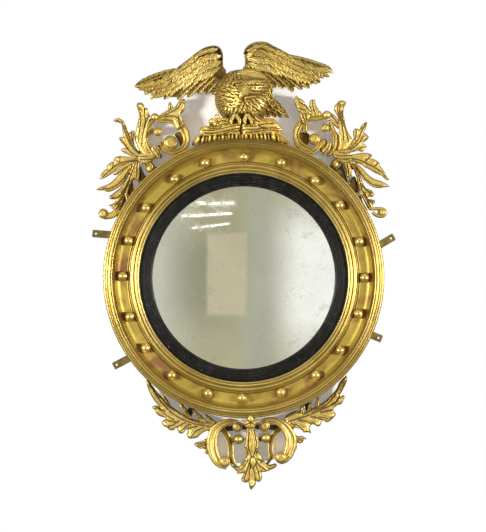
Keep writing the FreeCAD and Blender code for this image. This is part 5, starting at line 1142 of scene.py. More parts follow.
def slab(sh, pts, yb, yf, bevel=2.0, cv=(0.6, 0.45, 0.3, 0.2, 0.2)):
    """Sawn blank with eased arrises; pts run round the outline; cv gives each level, back to front face, its painted
    shade.
    """
    n = len(pts)
    area = sum(pts[i][0] * pts[(i + 1) % n][1] - pts[(i + 1) % n][0] * pts[i][1] for i in range(n))
    sg = 1 if area > 0 else -1

    def inset(d):
        res = []
        for i in range(n):
            ax, az = pts[i - 1]
            bx, bz = pts[i]
            cx, cz = pts[(i + 1) % n]
            l1 = math.hypot(bx - ax, bz - az) or 1.0
            l2 = math.hypot(cx - bx, cz - bz) or 1.0
            nx = -((bz - az) / l1 + (cz - bz) / l2) * sg
            nz = ((bx - ax) / l1 + (cx - bx) / l2) * sg
            m = math.hypot(nx, nz) or 1.0
            res.append((bx + nx / m * d, bz + nz / m * d))
        return res

    lv = [(yb, bevel * 0.7), (yb + 0.3 * (yf - yb), 0.0), (yf + bevel, 0.0), (yf + 0.3 * bevel, bevel * 0.3), (yf, bevel)]
    verts, cav, faces = [], [], []
    for (y, d), c in zip(lv, cv):
        for x, z in inset(d):
            verts.append((x, y, z))
            cav.append(c)
    for j in range(len(lv) - 1):
        for i in range(n):
            k = (i + 1) % n
            faces.append((j * n + i, j * n + k, (j + 1) * n + k, (j + 1) * n + i))
    faces.append(tuple(range(n))[::-1])
    faces.append(tuple((len(lv) - 1) * n + i for i in range(n)))
    sh.add(verts, faces, cav)


def sheet(sh, top, bot, n, nu, cav_t, uv_t):
    """Closes a front grid and a back grid of n rows by nu columns; the back grid carries painted shade."""
    o = n * nu
    faces = []
    for i in range(n - 1):
        for k in range(nu - 1):
            a = i * nu + k
            faces.append((a, a + 1, a + nu + 1, a + nu))
            faces.append((o + a, o + a + nu, o + a + nu + 1, o + a + 1))
    for i in range(n - 1):
        for k in (0, nu - 1):
            a, b = i * nu + k, (i + 1) * nu + k
            faces.append((a, b, o + b, o + a))
    for k in range(nu - 1):
        for i in (0, n - 1):
            a, b = i * nu + k, i * nu + k + 1
            faces.append((a, b, o + b, o + a))
    sh.add(top + bot, faces, cav_t + [0.75] * o, uv_t + uv_t)


def feather(sh, bx, bz, tx, tz, w, y0, y1=None, bow=0.0, tilt=1.6, yb=-40.0, pitch=4.3, amp=0.5, drop=2.8, point=0.0, nu=17):
    """One carved feather from its root to its tip with a raised quill and slanting barbs; painted shade lies in the
    barb troughs, the groove beside the quill, along the edges and at the root.
    """
    y1 = y0 + 5.0 if y1 is None else y1
    L = math.hypot(tx - bx, tz - bz)
    dx, dz = (tx - bx) / L, (tz - bz) / L
    sx, sz = -dz, dx
    n = max(12, int(L / 1.15))
    top, bot, cav, uv = [], [], [], []
    ph = (bx * 0.37 + bz * 0.61) % 1.0
    for i in range(n):
        t = i / (n - 1)
        c = bow * math.sin(math.pi * t)
        cx, cz = bx + dx * L * t + sx * c, bz + dz * L * t + sz * c
        hw = 0.5 * w * (0.72 + 0.28 * min(1.0, t / 0.25))
        q = max(0.0, (t - (0.86 - 0.35 * point)) / (0.14 + 0.35 * point))
        hw *= (1 - min(q, 0.995) ** 2.2) ** (0.55 + 0.6 * point)
        # a barb or two has parted
        hw *= 1 - 0.16 * max(0.0, 1 - abs((t - 0.62 - 0.1 * ph) / 0.03)) - 0.1 * max(0.0, 1 - abs((t - 0.8 - 0.08 * ph) / 0.025))
        crest = y0 + (y1 - y0) * t ** 1.3 + 0.8 * wob(cx, cz, 0.03, 4)
        for k in range(nu):
            u = -1 + 2 * k / (nu - 1)
            au = abs(u)
            s = math.sin(2 * math.pi * (L * t / pitch - 0.95 * au * hw / pitch + ph))
            edge = math.exp(-(au / 0.11) ** 2)
            groove = math.exp(-((au - 0.24) / 0.09) ** 2)
            y = crest + drop * au ** 2.4 + 1.3 * tilt * u - 1.5 * edge + 1.1 * groove - amp * s * min(1.0, au * 2.2) * (1 - 0.25 * au)
            x, z = cx + sx * u * hw, cz + sz * u * hw
            top.append((x, min(y, yb - 1.0), z))
            bot.append((cx + sx * u * hw * 0.92, yb, cz + sz * u * hw * 0.92))
            g = 0.20 * max(0.0, -s) ** 0.8 * min(1.0, au * 2) + 0.45 * groove + 0.98 * min(1.0, max(0.0, au - 0.80) / 0.18)
            g += 0.5 * max(0.0, 1 - t / 0.2)
            cav.append(min(1.0, g))
            uv.append((t * L * 0.01, 0.5 + 0.01 * u * hw))
    sheet(sh, top, bot, n, nu, cav, uv)


def plume(sh, x, z, ang, L, W, surf, rise=3.0, ridge=0.9, n=11, nu=13, sink=1.0, flutes=2, dark=0.30, blunt=0.55):
    """Short feather lying on a swelling surface, its tip lifted clear of the row below; painted shade lies in its
    flutes, at its root and along its edges.
    """
    ca, sa = math.cos(ang), math.sin(ang)
    px, pz = -sa, ca
    top, bot, cav, uv = [], [], [], []
    swing = 0.06 * (1 if (x * 3 + z) % 2 > 1 else -1)
    for i in range(n):
        t = i / (n - 1)
        w = W / 2 * (0.70 + 0.30 * math.sin(math.pi / 2 * min(1.0, t / 0.5)))
        w *= max(0.05, (1 - max(0.0, (t - blunt) / (1 - blunt)) ** 2.0)) ** 0.7
        bend = swing * L * math.sin(math.pi * t)
        for k in range(nu):
            u = -1 + 2 * k / (nu - 1)
            X = x + ca * L * t + px * (u * w + bend)
            Z = z + sa * L * t + pz * (u * w + bend)
            ys = surf(X, Z)
            f = abs(math.sin(math.pi * flutes / 2 * (u + 1)))
            up = rise * t ** 0.8 * (1 - 0.45 * u * u) - sink * (1 - t)
            up += ridge * math.exp(-(u / 0.2) ** 2) * math.sin(math.pi * min(1, t * 1.1)) + ridge * f
            top.append((X, ys - up, Z))
            bot.append((X - ca * L * 0.04 * t, ys + 3.0, Z - sa * L * 0.04 * t))
            g = dark * (1 - f) ** 1.2 + 0.5 * max(0.0, 1 - t / 0.3) + 0.8 * min(1.0, max(0.0, abs(u) - 0.74) / 0.24)
            cav.append(min(1.0, g))
            uv.append((t * L * 0.01, 0.5 + 0.01 * u * w))
    sheet(sh, top, bot, n, nu, cav, uv)


def along(line, s):
    """Point at the share s of a broken line's length."""
    seg = [math.hypot(line[i + 1][0] - line[i][0], line[i + 1][1] - line[i][1]) for i in range(len(line) - 1)]
    d = s * sum(seg)
    for i, l in enumerate(seg):
        if d <= l or i == len(seg) - 1:
            k = min(1.0, d / l)
            return (line[i][0] + k * (line[i + 1][0] - line[i][0]), line[i][1] + k * (line[i + 1][1] - line[i][1]))
        d -= l


def near(line, x, z):
    """Distance from a point to a broken line."""
    best = 1e9
    for i in range(len(line) - 1):
        ax, az = line[i]
        bx, bz = line[i + 1]
        vx, vz = bx - ax, bz - az
        t = ((x - ax) * vx + (z - az) * vz) / (vx * vx + vz * vz)
        t = max(0.0, min(1.0, t))
        best = min(best, math.hypot(x - ax - t * vx, z - az - t * vz))
    return best


def coverts(sh, bone, lower, rows, seed, sgn):
    """Rows of small overlapping feathers laid from the bone of the wing outwards, lowest row first."""
    rn = random.Random(seed)

    def surf(x, z):
        d = near(bone, x, z)
        return -49.0 - 19.0 * math.exp(-(d / 26.0) ** 1.3) + 3.0 * math.exp(-(d / 3.5) ** 2)

    for t0, s0, s1, step, L, W, k0, k1, lift in rows:
        total = sum(math.hypot(bone[i + 1][0] - bone[i][0], bone[i + 1][1] - bone[i][1]) for i in range(len(bone) - 1))
        s = s1
        while s > s0:
            bp, lp = along(bone, s), along(lower, s)
            t = t0 + rn.uniform(-0.012, 0.012)
            x = bp[0] + (lp[0] - bp[0]) * t
            z = bp[1] + (lp[1] - bp[1]) * t
            b2 = along(bone, min(1.0, s + 0.03))
            b1 = along(bone, max(0.0, s - 0.03))
            tl = math.hypot(b2[0] - b1[0], b2[1] - b1[1]) or 1.0
            dl = math.hypot(lp[0] - bp[0], lp[1] - bp[1]) or 1.0
            k = k0 + (k1 - k0) * s
            dx = (lp[0] - bp[0]) / dl + k * (b2[0] - b1[0]) / tl
            dz = (lp[1] - bp[1]) / dl + k * (b2[1] - b1[1]) / tl
            ang = math.atan2(dz, dx) + rn.uniform(-0.06, 0.06)
            ll = L * rn.uniform(0.92, 1.1)
            plume(sh, x, z, ang, ll, W, lambda X, Z: surf(X, Z) - lift, 3.6, 0.8, n=12, flutes=2, blunt=0.6)
            s -= step / total


PX = 2.35


def at(px, py):
    return (px - 243.7) * PX, (277.7 - py) * PX


# --- left wing
WL = [(-253.1, 450), (-231.9, 453.3), (-208.4, 458.5), (-179.3, 469.3), (-168.5, 480.1), (-147.3, 496.1),
     (-127.6, 510.2), (-109.7, 525.7), (-90.9, 538.4), (-76.8, 543.6), (-62.7, 543.1), (-54.3, 536), (-50.1, 525.7),
     (-48.2, 497.5), (-41.6, 489), (-41.6, 474), (-53.3, 458.5), (-62.7, 441.1), (-72.1, 436.4), (-93.3, 438.7),
     (-112.1, 440.2), (-135.6, 431.7), (-149.7, 424.6), (-173.2, 425.6), (-196.7, 427.9), (-215.5, 427),
     (-209.9, 436.4), (-201.4, 443), (-220.2, 443.4), (-236.6, 445.8)]
sh = Shell()
# the blank behind the feathers carries painted shade, seen in the gaps between them
slab(sh, WL, -38.5, -46.0, 2.0, (0.6, 0.6, 0.7, 0.8, 0.85))
for i, (bx, bz, tx, tz, w, y, bow) in enumerate([(-53.3, 464.6, -73.6, 431.2, 14.1, -51, 1.5), (-58, 469.3, -90, 432.6, 15.3, -51, 2),
      (-67.4, 474, -108.8, 434, 16.4, -51.4, 2.5), (-76.8, 478.7, -132.3, 425.6, 16.4, -51.8, 3),
      (-88.6, 483.4, -156.7, 419.5, 16.9, -52.2, 3.5), (-105, 488.1, -188.7, 420.4, 16.4, -52.6, 4),
      (-123.8, 488.1, -216.4, 423.7, 15.5, -53, 3.5), (-145, 490.4, -234.8, 443, 14.1, -53.4, 3),
      (-159.1, 488.1, -256.9, 451.9, 15.5, -54, 3)]):
    feather(sh, bx, bz, tx, tz, w, y, y + 6.0, bow=-bow, tilt=-1.9, yb=-38.5, point=0.25 + (0.25 if i > 5 else 0))
BONE_L = [(-45.1, 521), (-47.2, 531.3), (-58, 538.4), (-74.5, 540.7), (-90.9, 536), (-109.7, 524.3), (-127.6, 509.7),
     (-147.3, 495.1), (-167.6, 479.2), (-189.6, 465.5), (-215.5, 456.6), (-243.7, 451.9)]
LOW_L = [(-43, 459.9), (-55.7, 448.1), (-72.1, 438.7), (-90.9, 437.8), (-109.7, 436.4), (-133.2, 429.3),
     (-156.7, 424.6), (-184.9, 424.6), (-208.4, 427), (-224.9, 438.7), (-236.6, 444.4), (-250.7, 450.5)]
coverts(sh, BONE_L, LOW_L, [
    (0.45, 0.05, 0.74, 8.6, 38.0, 11.5, 0.7, 1.5, 2.6),
    (0.31, 0.05, 0.82, 8.0, 36.0, 10.8, 0.9, 1.9, 4.4),
    (0.16, 0.06, 0.88, 7.6, 34.0, 10.2, 1.2, 2.3, 6.0),
    (0.03, 0.08, 0.93, 8.0, 30.0, 9.4, 2.0, 4.0, 7.2)], 11, -1)
strand(sh, [(-49.6, 511.6, 1.4), (-51.5, 527.1, 2.4), (-56.6, 537, 2.8), (-64.2, 541.7, 3.1), (-75.4, 541.7, 3.3),
      (-91.9, 537, 3.3), (-110.2, 525.2, 3.3), (-128.1, 510.7, 3.3), (-147.8, 496.1, 3.1), (-168, 480.1, 2.8),
      (-180.2, 470.2, 2.4)],
       -39.0, -66.0, "leaf", 2, 1.2, drop=4.0, nu=13)
strand(sh, [(-173.2, 473.1, 3.3), (-189.6, 465.5, 4), (-210.8, 458, 4), (-231.9, 453.3, 3.3), (-253.1, 451, 1.6)], -39.0, -55.5, "leaf", 2, 1.6, drop=3.5, nu=13)
WING_L = sh.build("wing_left", M_FEATHER, replaces=["eagle_left_wing"])
crisp(WING_L, 58)

# --- right wing
WR = [(3.1, 488.1), (3.1, 528), (7.8, 535.6), (18.6, 543.6), (33.6, 549.7), (52.4, 548.7), (66.5, 542.1),
     (75.9, 536.5), (94.7, 529.5), (108.8, 521), (125.3, 513.9), (135.6, 506.9), (145, 497.5), (167.6, 492.8),
     (191.1, 492.3), (203.7, 490.9), (206.1, 488.1), (198.1, 482.9), (181.7, 480.1), (162.9, 479.6), (160.5, 471.6),
     (176, 463.7), (174.6, 459.4), (162.9, 457.5), (151.1, 453.8), (144.1, 448.1), (130, 452.4), (118.2, 449.1),
     (108.8, 444.9), (94.7, 451.4), (85.3, 455.2), (61.8, 453.8), (45.4, 458.5), (26.6, 467.9)]
sh = Shell()
# the blank behind the feathers carries painted shade, seen in the gaps between them
slab(sh, WR, -38.5, -46.0, 2.0, (0.6, 0.6, 0.7, 0.8, 0.85))
for i, (bx, bz, tx, tz, w, y, bow) in enumerate([(24.2, 485.7, 60.9, 450, 14.1, -51, 1.5), (33.6, 488.1, 75.9, 448.6, 15.3, -51, 2),
      (45.4, 490.4, 94.7, 447.2, 15.3, -51.4, 2.5), (57.1, 492.8, 117.7, 439.7, 16.4, -51.8, 3),
      (66.5, 497.5, 138.9, 443.9, 15.5, -52.2, 3), (80.6, 502.2, 155.3, 447.2, 16.4, -52.6, 3),
      (94.7, 506.9, 180.7, 460.4, 17.6, -53, 3), (104.1, 511.6, 184, 477.3, 14.1, -53.4, 2),
      (97.1, 521, 208, 489, 16.4, -54, 2)]):
    feather(sh, bx, bz, tx, tz, w, y, y + 6.0, bow=bow, tilt=1.9, yb=-38.5, point=0.15)
BONE_R = [(1.6, 516.3), (3.1, 528), (9.2, 536.5), (19.5, 543.1), (33.6, 546.8), (52.4, 545.9), (66.5, 539.8),
     (83, 532.3), (101.8, 522.4), (120.6, 512.1), (137, 503.1), (155.8, 495.1), (177, 491.4), (198.1, 489)]
LOW_R = [(0.7, 478.7), (12.5, 471.6), (26.6, 465.5), (45.4, 458.5), (64.2, 454.3), (83, 454.3), (99.4, 451.4),
     (115.9, 450.5), (132.3, 453.8), (146.4, 456.1), (158.2, 462.2), (167.6, 474), (181.7, 482), (195.8, 485.7)]
coverts(sh, BONE_R, LOW_R, [
    (0.46, 0.03, 0.74, 8.4, 37.0, 11.5, 0.7, 1.5, 2.6),
    (0.31, 0.03, 0.82, 7.8, 35.0, 10.8, 0.9, 1.9, 4.4),
    (0.16, 0.02, 0.88, 7.4, 33.0, 10.2, 1.2, 2.3, 6.0),
    (0.03, 0.05, 0.93, 8.0, 29.0, 9.4, 2.0, 4.0, 7.2)], 12, 1)
strand(sh, [(1.6, 525.7, 2.4), (5.9, 535.6, 3.5), (17.2, 544.5, 4.5), (33.6, 549.4, 4.9), (52.4, 548, 4.9),
      (66.5, 541.7, 4.2), (83, 533.7, 3.8), (101.8, 523.8, 3.5), (120.6, 513.5, 3.3), (134.7, 505.5, 2.6)],
       -39.0, -67.0, "leaf", 3, 1.2, drop=4.5, nu=17)
strand(sh, [(130, 507.8, 3.8), (146.4, 497.5, 4.5), (167.6, 492.3, 4.5), (188.7, 490.4, 4.5), (205.2, 488.1, 2.8)], -39.0, -56.0, "leaf", 2, 1.6, drop=3.5, nu=13)
# shoulder coverts that lap over the body
for (bx, bz, tx, tz, w, y, bow) in [(-1.6, 491.4, 28.9, 485.3, 9.4, -66, 1), (5.4, 486.7, 43, 475.4, 9.9, -66, 1.6),
      (19.5, 482.5, 61.8, 468.4, 10.3, -64, 2), (33.6, 479.2, 71.2, 459.9, 9.9, -61, 2)]:
    feather(sh, bx, bz, tx, tz, w, y, y + 2.0, bow=bow, tilt=1.4, yb=-44, point=0.5, amp=0.5, pitch=3.8)
WING_R = sh.build("wing_right", M_FEATHER, replaces=["eagle_right_wing"])
crisp(WING_R, 58)

# --- body
BX, BZ = at(243.0, 96.0)
BA, BB = 28.4 * PX, 27.6 * PX


def body_y(x, z):
    u, v = abs(x - BX) / BA, abs(z - BZ) / BB
    e = u ** 2.25 + v ** 2.25
    return -30.0 - 55.0 * math.sqrt(max(0.0, 1 - min(e, 1.0) ** 1.25))


sh = Shell()
# the dome under the plumes carries painted shade, seen in the gaps between them
verts, faces, cav = [], [], []
NB, MB = 72, 18
for j in range(MB + 1):
    r = math.sin(math.pi / 2 * min(0.9995, 1 - j / MB))
    r = max(r, 0.0005)
    for k in range(NB):
        a = 2 * math.pi * k / NB
        ca, sa = math.cos(a), math.sin(a)
        rr = r / (abs(ca) ** 2.25 + abs(sa) ** 2.25) ** (1 / 2.25)
        x, z = BX + BA * rr * ca, BZ + BB * rr * sa
        verts.append((x, body_y(x, z) + 1.0 * wob(x, z, 0.05, 2), z))
        cav.append(0.62)
for k in range(NB):
    a = 2 * math.pi * k / NB
    ca, sa = math.cos(a), math.sin(a)
    rr = 0.93 / (abs(ca) ** 2.25 + abs(sa) ** 2.25) ** (1 / 2.25)
    verts.append((BX + BA * rr * ca, -22.5, BZ + BB * rr * sa))
    cav.append(0.6)
for j in range(MB):
    for k in range(NB):
        k2 = (k + 1) % NB
        faces.append((j * NB + k, j * NB + k2, (j + 1) * NB + k2, (j + 1) * NB + k))
faces.append(tuple(MB * NB + k for k in range(NB)))
o = (MB + 1) * NB
for k in range(NB):
    k2 = (k + 1) % NB
    faces.append((o + k, o + k2, k2, k))
faces.append(tuple(o + k for k in range(NB))[::-1])
sh.add(verts, faces, cav)
rnd = random.Random(5)
rows_ = 0
py = 70.0
while py < 119.5:
    half = 28.4 * (1 - min(1.0, abs((py - 96) / 27.6)) ** 2.25) ** (1 / 2.25)
    step = 4.0
    px = 243.0 - half + (1.5 if rows_ % 2 else 3.4)
    while px < 243.0 + half - 1.0:
        x_, y_ = px + rnd.uniform(-0.5, 0.5), py + rnd.uniform(-0.4, 0.4)
        smooth_back = 241 < x_ < 266 and y_ < 80
        under_head = 243 < x_ < 264 and 84 < y_ < 97
        if not smooth_back and not under_head:
            if y_ < 86:
                dx, dy = (x_ - 238) * 0.5, 18.0
                L_, W_ = 7.6, 3.6
            elif y_ < 108 and x_ < 240:
                wx, wy = 241.0 - x_, 102.0 - y_
                dx, dy = wx * 1.0 + 6, wy * 0.55 + 1.2
                L_, W_ = 9.6, 3.2
            elif x_ > 246 and y_ > 98:
                dx, dy = 0.72, 0.62
                L_, W_ = 9.0, 3.4
            else:
                dx, dy = (x_ - 242) * 0.32, 10.0
                L_, W_ = 7.2, 3.2
            m = math.hypot(dx, dy)
            X, Z = at(x_, y_)
            X -= dx / m * L_ * PX * 0.35
            Z += dy / m * L_ * PX * 0.35
            ang = math.atan2(-dy, dx) + rnd.uniform(-0.24, 0.24)
            L_ *= 0.86
            ex, ez = X + L_ * PX * math.cos(ang), Z + L_ * PX * math.sin(ang)
            if all((abs(qx - BX) / (BA + 2.0)) ** 2.25 + (abs(qz - BZ) / (BB + 2.0)) ** 2.25 < 1.0 for qx, qz in ((X, Z), (ex, ez))):
                plume(sh, X, Z, ang, L_ * PX, W_ * PX, body_y, 4.6, 1.0, flutes=2)
        px += step
    py += 3.3
    rows_ += 1
# smooth saddle between the wings and the neck coming forward from it
strand(sh, [(-18.1, 477.3, 2.8), (-6.3, 478.7, 8.5), (10.1, 476.8, 13.2), (28.9, 471.6, 14.6), (45.4, 463.2, 12.7),
      (55.7, 450.5, 8.5)], -40.0, -72.0, "round", 0, 0, nu=15, drop=9.0)
for (bx, bz, tx, tz, w, y, bow) in [(45.4, 471.6, 63.2, 445.8, 9.4, -66, 2), (54.8, 462.2, 66.5, 435.5, 9.4, -64, 2),
      (50.1, 450.5, 65.6, 419.9, 10.3, -66, 2), (43, 436.4, 64.2, 408.2, 10.3, -72, 2)]:
    feather(sh, bx, bz, tx, tz, w, y, y + 4.0, bow=bow, tilt=1.2, yb=-40, point=0.5, amp=0.6, pitch=4.0)
BODY = sh.build("eagle_breast", M_DOWN, replaces=["eagle_body"])
crisp(BODY, 60)

# --- head bowed over the breast, hooked beak to the left
HX, HZ = at(253.6, 88.6)
HA, HB = 16.4 * PX, 9.6 * PX


def head_y(x, z):
    ca, sa = math.cos(0.16), math.sin(0.16)
    dx, dz = x - HX, z - HZ
    u, v = (dx * ca + dz * sa) / HA, (-dx * sa + dz * ca) / HB
    e = u * u + v * v
    return -84.0 - 28.0 * math.sqrt(max(0.0, 1 - min(e, 1.0)))


sh = Shell()
# the dome under the head's plumes carries painted shade, seen in the gaps between them
verts, faces, cav = [], [], []
for j in range(15):
    r = max(0.001, math.sin(math.pi / 2 * min(0.999, 1 - j / 14)))
    for k in range(48):
        a = 2 * math.pi * k / 48
        lx, lz = HA * r * math.cos(a), HB * r * math.sin(a)
        x = HX + lx * math.cos(0.16) - lz * math.sin(0.16)
        z = HZ + lx * math.sin(0.16) + lz * math.cos(0.16)
        verts.append((x, head_y(x, z), z))
        cav.append(0.7)
for k in range(48):
    a = 2 * math.pi * k / 48
    lx, lz = HA * 0.96 * math.cos(a), HB * 0.96 * math.sin(a)
    verts.append((HX + lx * math.cos(0.16) - lz * math.sin(0.16), -74.0, HZ + lx * math.sin(0.16) + lz * math.cos(0.16)))
    cav.append(0.9)
for j in range(14):
    for k in range(48):
        k2 = (k + 1) % 48
        faces.append((j * 48 + k, j * 48 + k2, (j + 1) * 48 + k2, (j + 1) * 48 + k))
faces.append(tuple(14 * 48 + k for k in range(48)))
for k in range(48):
    k2 = (k + 1) % 48
    faces.append((15 * 48 + k, 15 * 48 + k2, k2, k))
faces.append(tuple(15 * 48 + k for k in range(48))[::-1])
sh.add(verts, faces, cav)
for r_, (y0_, xs) in enumerate([(81.6, (268, 264, 260, 256, 252, 248, 244, 240)), (84.6, (270, 266, 262, 258, 254, 250, 246, 242)),
                                (88.0, (269, 265, 261, 257, 253, 250)), (91.6, (268, 264, 260, 256, 252)),
                                (95.0, (265, 261, 257, 253, 249))]):
    for x_ in xs:
        X, Z = at(x_, y0_)
        dx, dy = -1.0, 0.45 + 0.1 * rnd.uniform(-1, 1) - 0.12 * r_
        plume(sh, X, Z, math.atan2(-dy, dx), 6.6 * PX, 3.1 * PX, head_y, 4.8, 1.0, flutes=2)
# brow, eye and beak; the groove round the eye carries painted shade
strand(sh, [(21.9, 438.3, 2.8), (12.5, 441.1, 4.5), (4, 439.7, 4.7), (-2.6, 434.5, 2.8)], -90.0, -114.6, "round", 0, 0, nu=11, drop=4.0)
turned(sh, *(7.5, 433.3), [(4.6, -96.0), (4.6, -106.4), (3.9, -107.6), (3.3, -106.8), (2.9, -108.4), (1.8, -109.8), (0.02, -110.4)], 24, 0.0, [0.9, 0.7, 0.4, 1.0, 0.6, 0.1, 0.1])
strand(sh, [(11.5, 428.4, 6.1), (3.1, 430.3, 7.1), (-3.5, 427, 6.8), (-7.1, 419.9, 5.2), (-6.6, 412, 1.4)], -88.0, -113.4, "round", 0, 0, nu=15, drop=6.0, lift1=4.0)
strand(sh, [(28.9, 422.8, 2.8), (14.8, 420.9, 3.8), (4.5, 419, 3.5), (-2.1, 415.7, 1.4)], -86.0, -106.0, "round", 0, 0, nu=11, drop=4.0)
HEAD = sh.build("eagle_bowed_head", M_DOWN, replaces=["eagle_head"])
crisp(HEAD, 60)

# --- tail
sh = Shell()
for (bx, bz, tx, tz, w, y, bow) in [(28.9, 398.8, 63.2, 376.7, 9.9, -47, 1), (31.3, 406.8, 76.8, 378.6, 9.9, -49, 1.4),
      (36, 414.3, 90, 377.6, 10.3, -51, 1.8), (43, 419.9, 106.5, 377.2, 11.8, -53, 2),
      (52.4, 423.7, 100.3, 388, 9.9, -55, 1.6), (59.5, 426.1, 88.6, 401.1, 8.9, -57, 1.2),
      (33.6, 417.6, 66.5, 388, 8.9, -61, 1.2), (40.7, 423.2, 75.9, 397.4, 8.9, -62, 1.2),
      (50.1, 428.4, 73.6, 411.5, 8, -63, 1)]:
    feather(sh, bx, bz, tx, tz, w, y, y + 4.0, bow=bow, tilt=1.5, yb=-34.5, point=0.4, amp=0.8, pitch=5.0, drop=3.4)
TAIL = sh.build("eagle_tail_fan", M_FEATHER, replaces=["eagle_tail"])
crisp(TAIL, 58)

# --- legs and talons
for nm, node, toes, shin in (
        ("talons_left", "eagle_left_foot", [(-20.4, 379.5, 5.2), (-26.6, 371.5, 4.9), (-29.1, 364.5, 4.5), (-28.9, 357, 2.8)], [(-19.5, 379.5, 5.2), (-12.9, 372, 4.9), (-9.6, 364.5, 4.5), (-9.2, 357, 2.8)]),
        ("talons_right", "eagle_right_foot", [(8.2, 379.5, 5.2), (3.5, 372, 4.9), (2.4, 364.5, 4.5), (3.1, 357, 2.8)], [(9.2, 379.5, 5.2), (14.8, 372, 4.9), (17.9, 364.5, 4.5), (19, 357, 2.8)])):
    sh = Shell()
    strand(sh, toes, -84.0, -104.0, "round", 0, 0, nu=13, drop=5.0)
    strand(sh, shin, -84.0, -103.0, "round", 0, 0, nu=13, drop=5.0)
    mid = [(toes[0][0], toes[0][1] + 2.0, toes[0][2] * 1.1), (toes[0][0] + 0.5, toes[0][1] - 4.0, toes[0][2] * 1.15), (0.5 * (toes[1][0] + shin[1][0]), toes[1][1] + 2.5, toes[0][2] * 0.7)]
    strand(sh, mid, -84.0, -105.5, "round", 0, 0, nu=13, drop=5.0)
    ob = sh.build(nm, M_FEATHER, replaces=[node])
    crisp(ob, 62)

# --- rock
sh = Shell()
# the blanks behind the rock carry painted shade, near black on the first, seen in the gaps between the ledges
slab(sh, [(-120.6, 308.6), (-120.6, 311.8), (-114.4, 318.9), (-105, 325.9), (-98, 334.4), (-98.9, 343.3), (-94.7, 348.5),
     (-83.9, 350.9), (-8.7, 353.2), (75.9, 352.3), (84.4, 346.2), (84.4, 337.7), (80.6, 329.7), (92.4, 325),
     (101.8, 318.4), (102.2, 312.3), (75.9, 319.4), (43, 323.6), (-1.6, 325.5), (-46.3, 323.1), (-83.9, 317.5)],
     -77.4, -86.0, 3.0, (0.6, 0.6, 0.95, 1.0, 1.0))
slab(sh, [(-120.6, 317), (-105, 329.2), (-98, 336.8), (-98.9, 343.3), (-94.7, 348.5), (-83.9, 350.9), (-8.7, 353.2),
     (75.9, 352.3), (84.4, 346.2), (84.4, 337.7), (80.6, 331.6), (94.7, 326.4), (100.8, 323.8), (75.9, 332.5),
     (43, 336.8), (-1.6, 338.2), (-46.3, 335.8), (-83.9, 328.3)],
     -6.0, -80.0, 2.0, (0.6, 0.5, 0.6, 0.6, 0.6))
slab(sh, [(-81.5, 350.9), (-80.1, 365), (-74.5, 369.7), (-62.7, 365), (57.1, 365), (66.5, 369.2), (74.5, 364),
     (75.9, 351.8), (-8.7, 349.9)], -6.0, -83.0, 3.0, (0.6, 0.5, 0.7, 0.8, 0.85))
Y0 = -70.0
ROCKS = [
    # lower ledges left and right of the cleft
    ([(-103.6, 344.7), (-95.6, 351.8), (-83.9, 354.1), (-65.1, 351.8), (-46.3, 355.1), (-25.1, 359.8),
     (-10.1, 361.7), (-7.8, 354.1), (-10.1, 344.7), (-9.6, 334.4), (-32.2, 336.3), (-51, 334.4), (-74.5, 332.1),
     (-93.3, 330.6), (-102.2, 336.3)], -94.5,
     [[(-95.6, 343.8), (-74.5, 343.3), (-51, 347.6), (-27.5, 353.2), (-11, 356.5)], [(-90.9, 336.8), (-67.4, 337.2), (-41.6, 342.4), (-13.4, 348.5)], [(-46.3, 336.3), (-27.5, 341.5), (-11, 342.4)], [(-83.9, 350.4), (-67.4, 347.6), (-51, 351.8)]]),
    ([(-2.6, 359.8), (14.8, 358.8), (33.6, 363.1), (52.4, 365.9), (71.2, 365.9), (80.6, 359.8), (87.7, 350.4),
     (89.1, 341.5), (80.6, 334.4), (61.8, 336.3), (43, 334.9), (19.5, 333.5), (-1.2, 333), (-3.1, 347.1)], -95.0,
     [[(0.7, 352.7), (24.2, 353.2), (47.7, 357.9), (71.2, 360.3)], [(-0.2, 345.2), (26.6, 345.7), (52.4, 349.9), (83, 348.5)], [(3.1, 337.7), (28.9, 340.5), (57.1, 343.3), (85.3, 342.4)], [(33.6, 357.9), (43, 350.4), (61.8, 345.7)]]),
    # clumps under the bird
    ([(-71.2, 355.1), (-69.8, 365), (-63.7, 371.5), (-51, 373.9), (-36.9, 372.5), (-31.7, 365.9), (-30.8, 355.1),
     (-46.3, 352.3), (-62.7, 351.8)], -91.5,
     [[(-56.6, 363.5), (-47.7, 366.8), (-39.2, 363.5)], [(-64.2, 357), (-60.9, 365), (-57.1, 357)], [(-53.3, 355.1), (-43.9, 358.8), (-34.5, 356.5)]]),
    ([(18.6, 390.8), (28.9, 386.1), (40.7, 377.6), (52.4, 371.5), (64.2, 369.2), (75, 364.5), (76.8, 356.5),
     (57.1, 359.3), (38.3, 358.8), (23.3, 356), (20.9, 365.9), (18.1, 380)], -92.0,
     [[(21.9, 385.6), (31.3, 375.3), (43, 367.8), (57.1, 364)], [(21.9, 375.3), (28.9, 366.8), (38.3, 362.6)], [(28.9, 382.8), (36.9, 377.6), (47.7, 371.5)], [(43, 362.1), (57.1, 362.6), (71.2, 361.2)]]),
    ([(-7.3, 355.6), (-5.4, 363.5), (-0.2, 363.5), (1.6, 354.1), (0.2, 344.7), (2.6, 333), (-5.9, 333),
     (-8.7, 344.7)], -88.0, []),
]
for out, yf, veins in ROCKS:
    relief(sh, out, yf, cuts=[(v, 4.4, 1.6) for v in veins], drop=5.0, ew=3.0, yb=Y0, swell=2.8, cut_g=1.0, shade=0.85 if not veins else 0.08)
berry(sh, *(-74, 365.4), 7.6, -83.0)
berry(sh, *(-96.6, 346.6), 6.0, -85.0)
berry(sh, *(81.5, 350.9), 5.6, -84.0)
berry(sh, *(-62.3, 376.2), 6.2, -82.0)
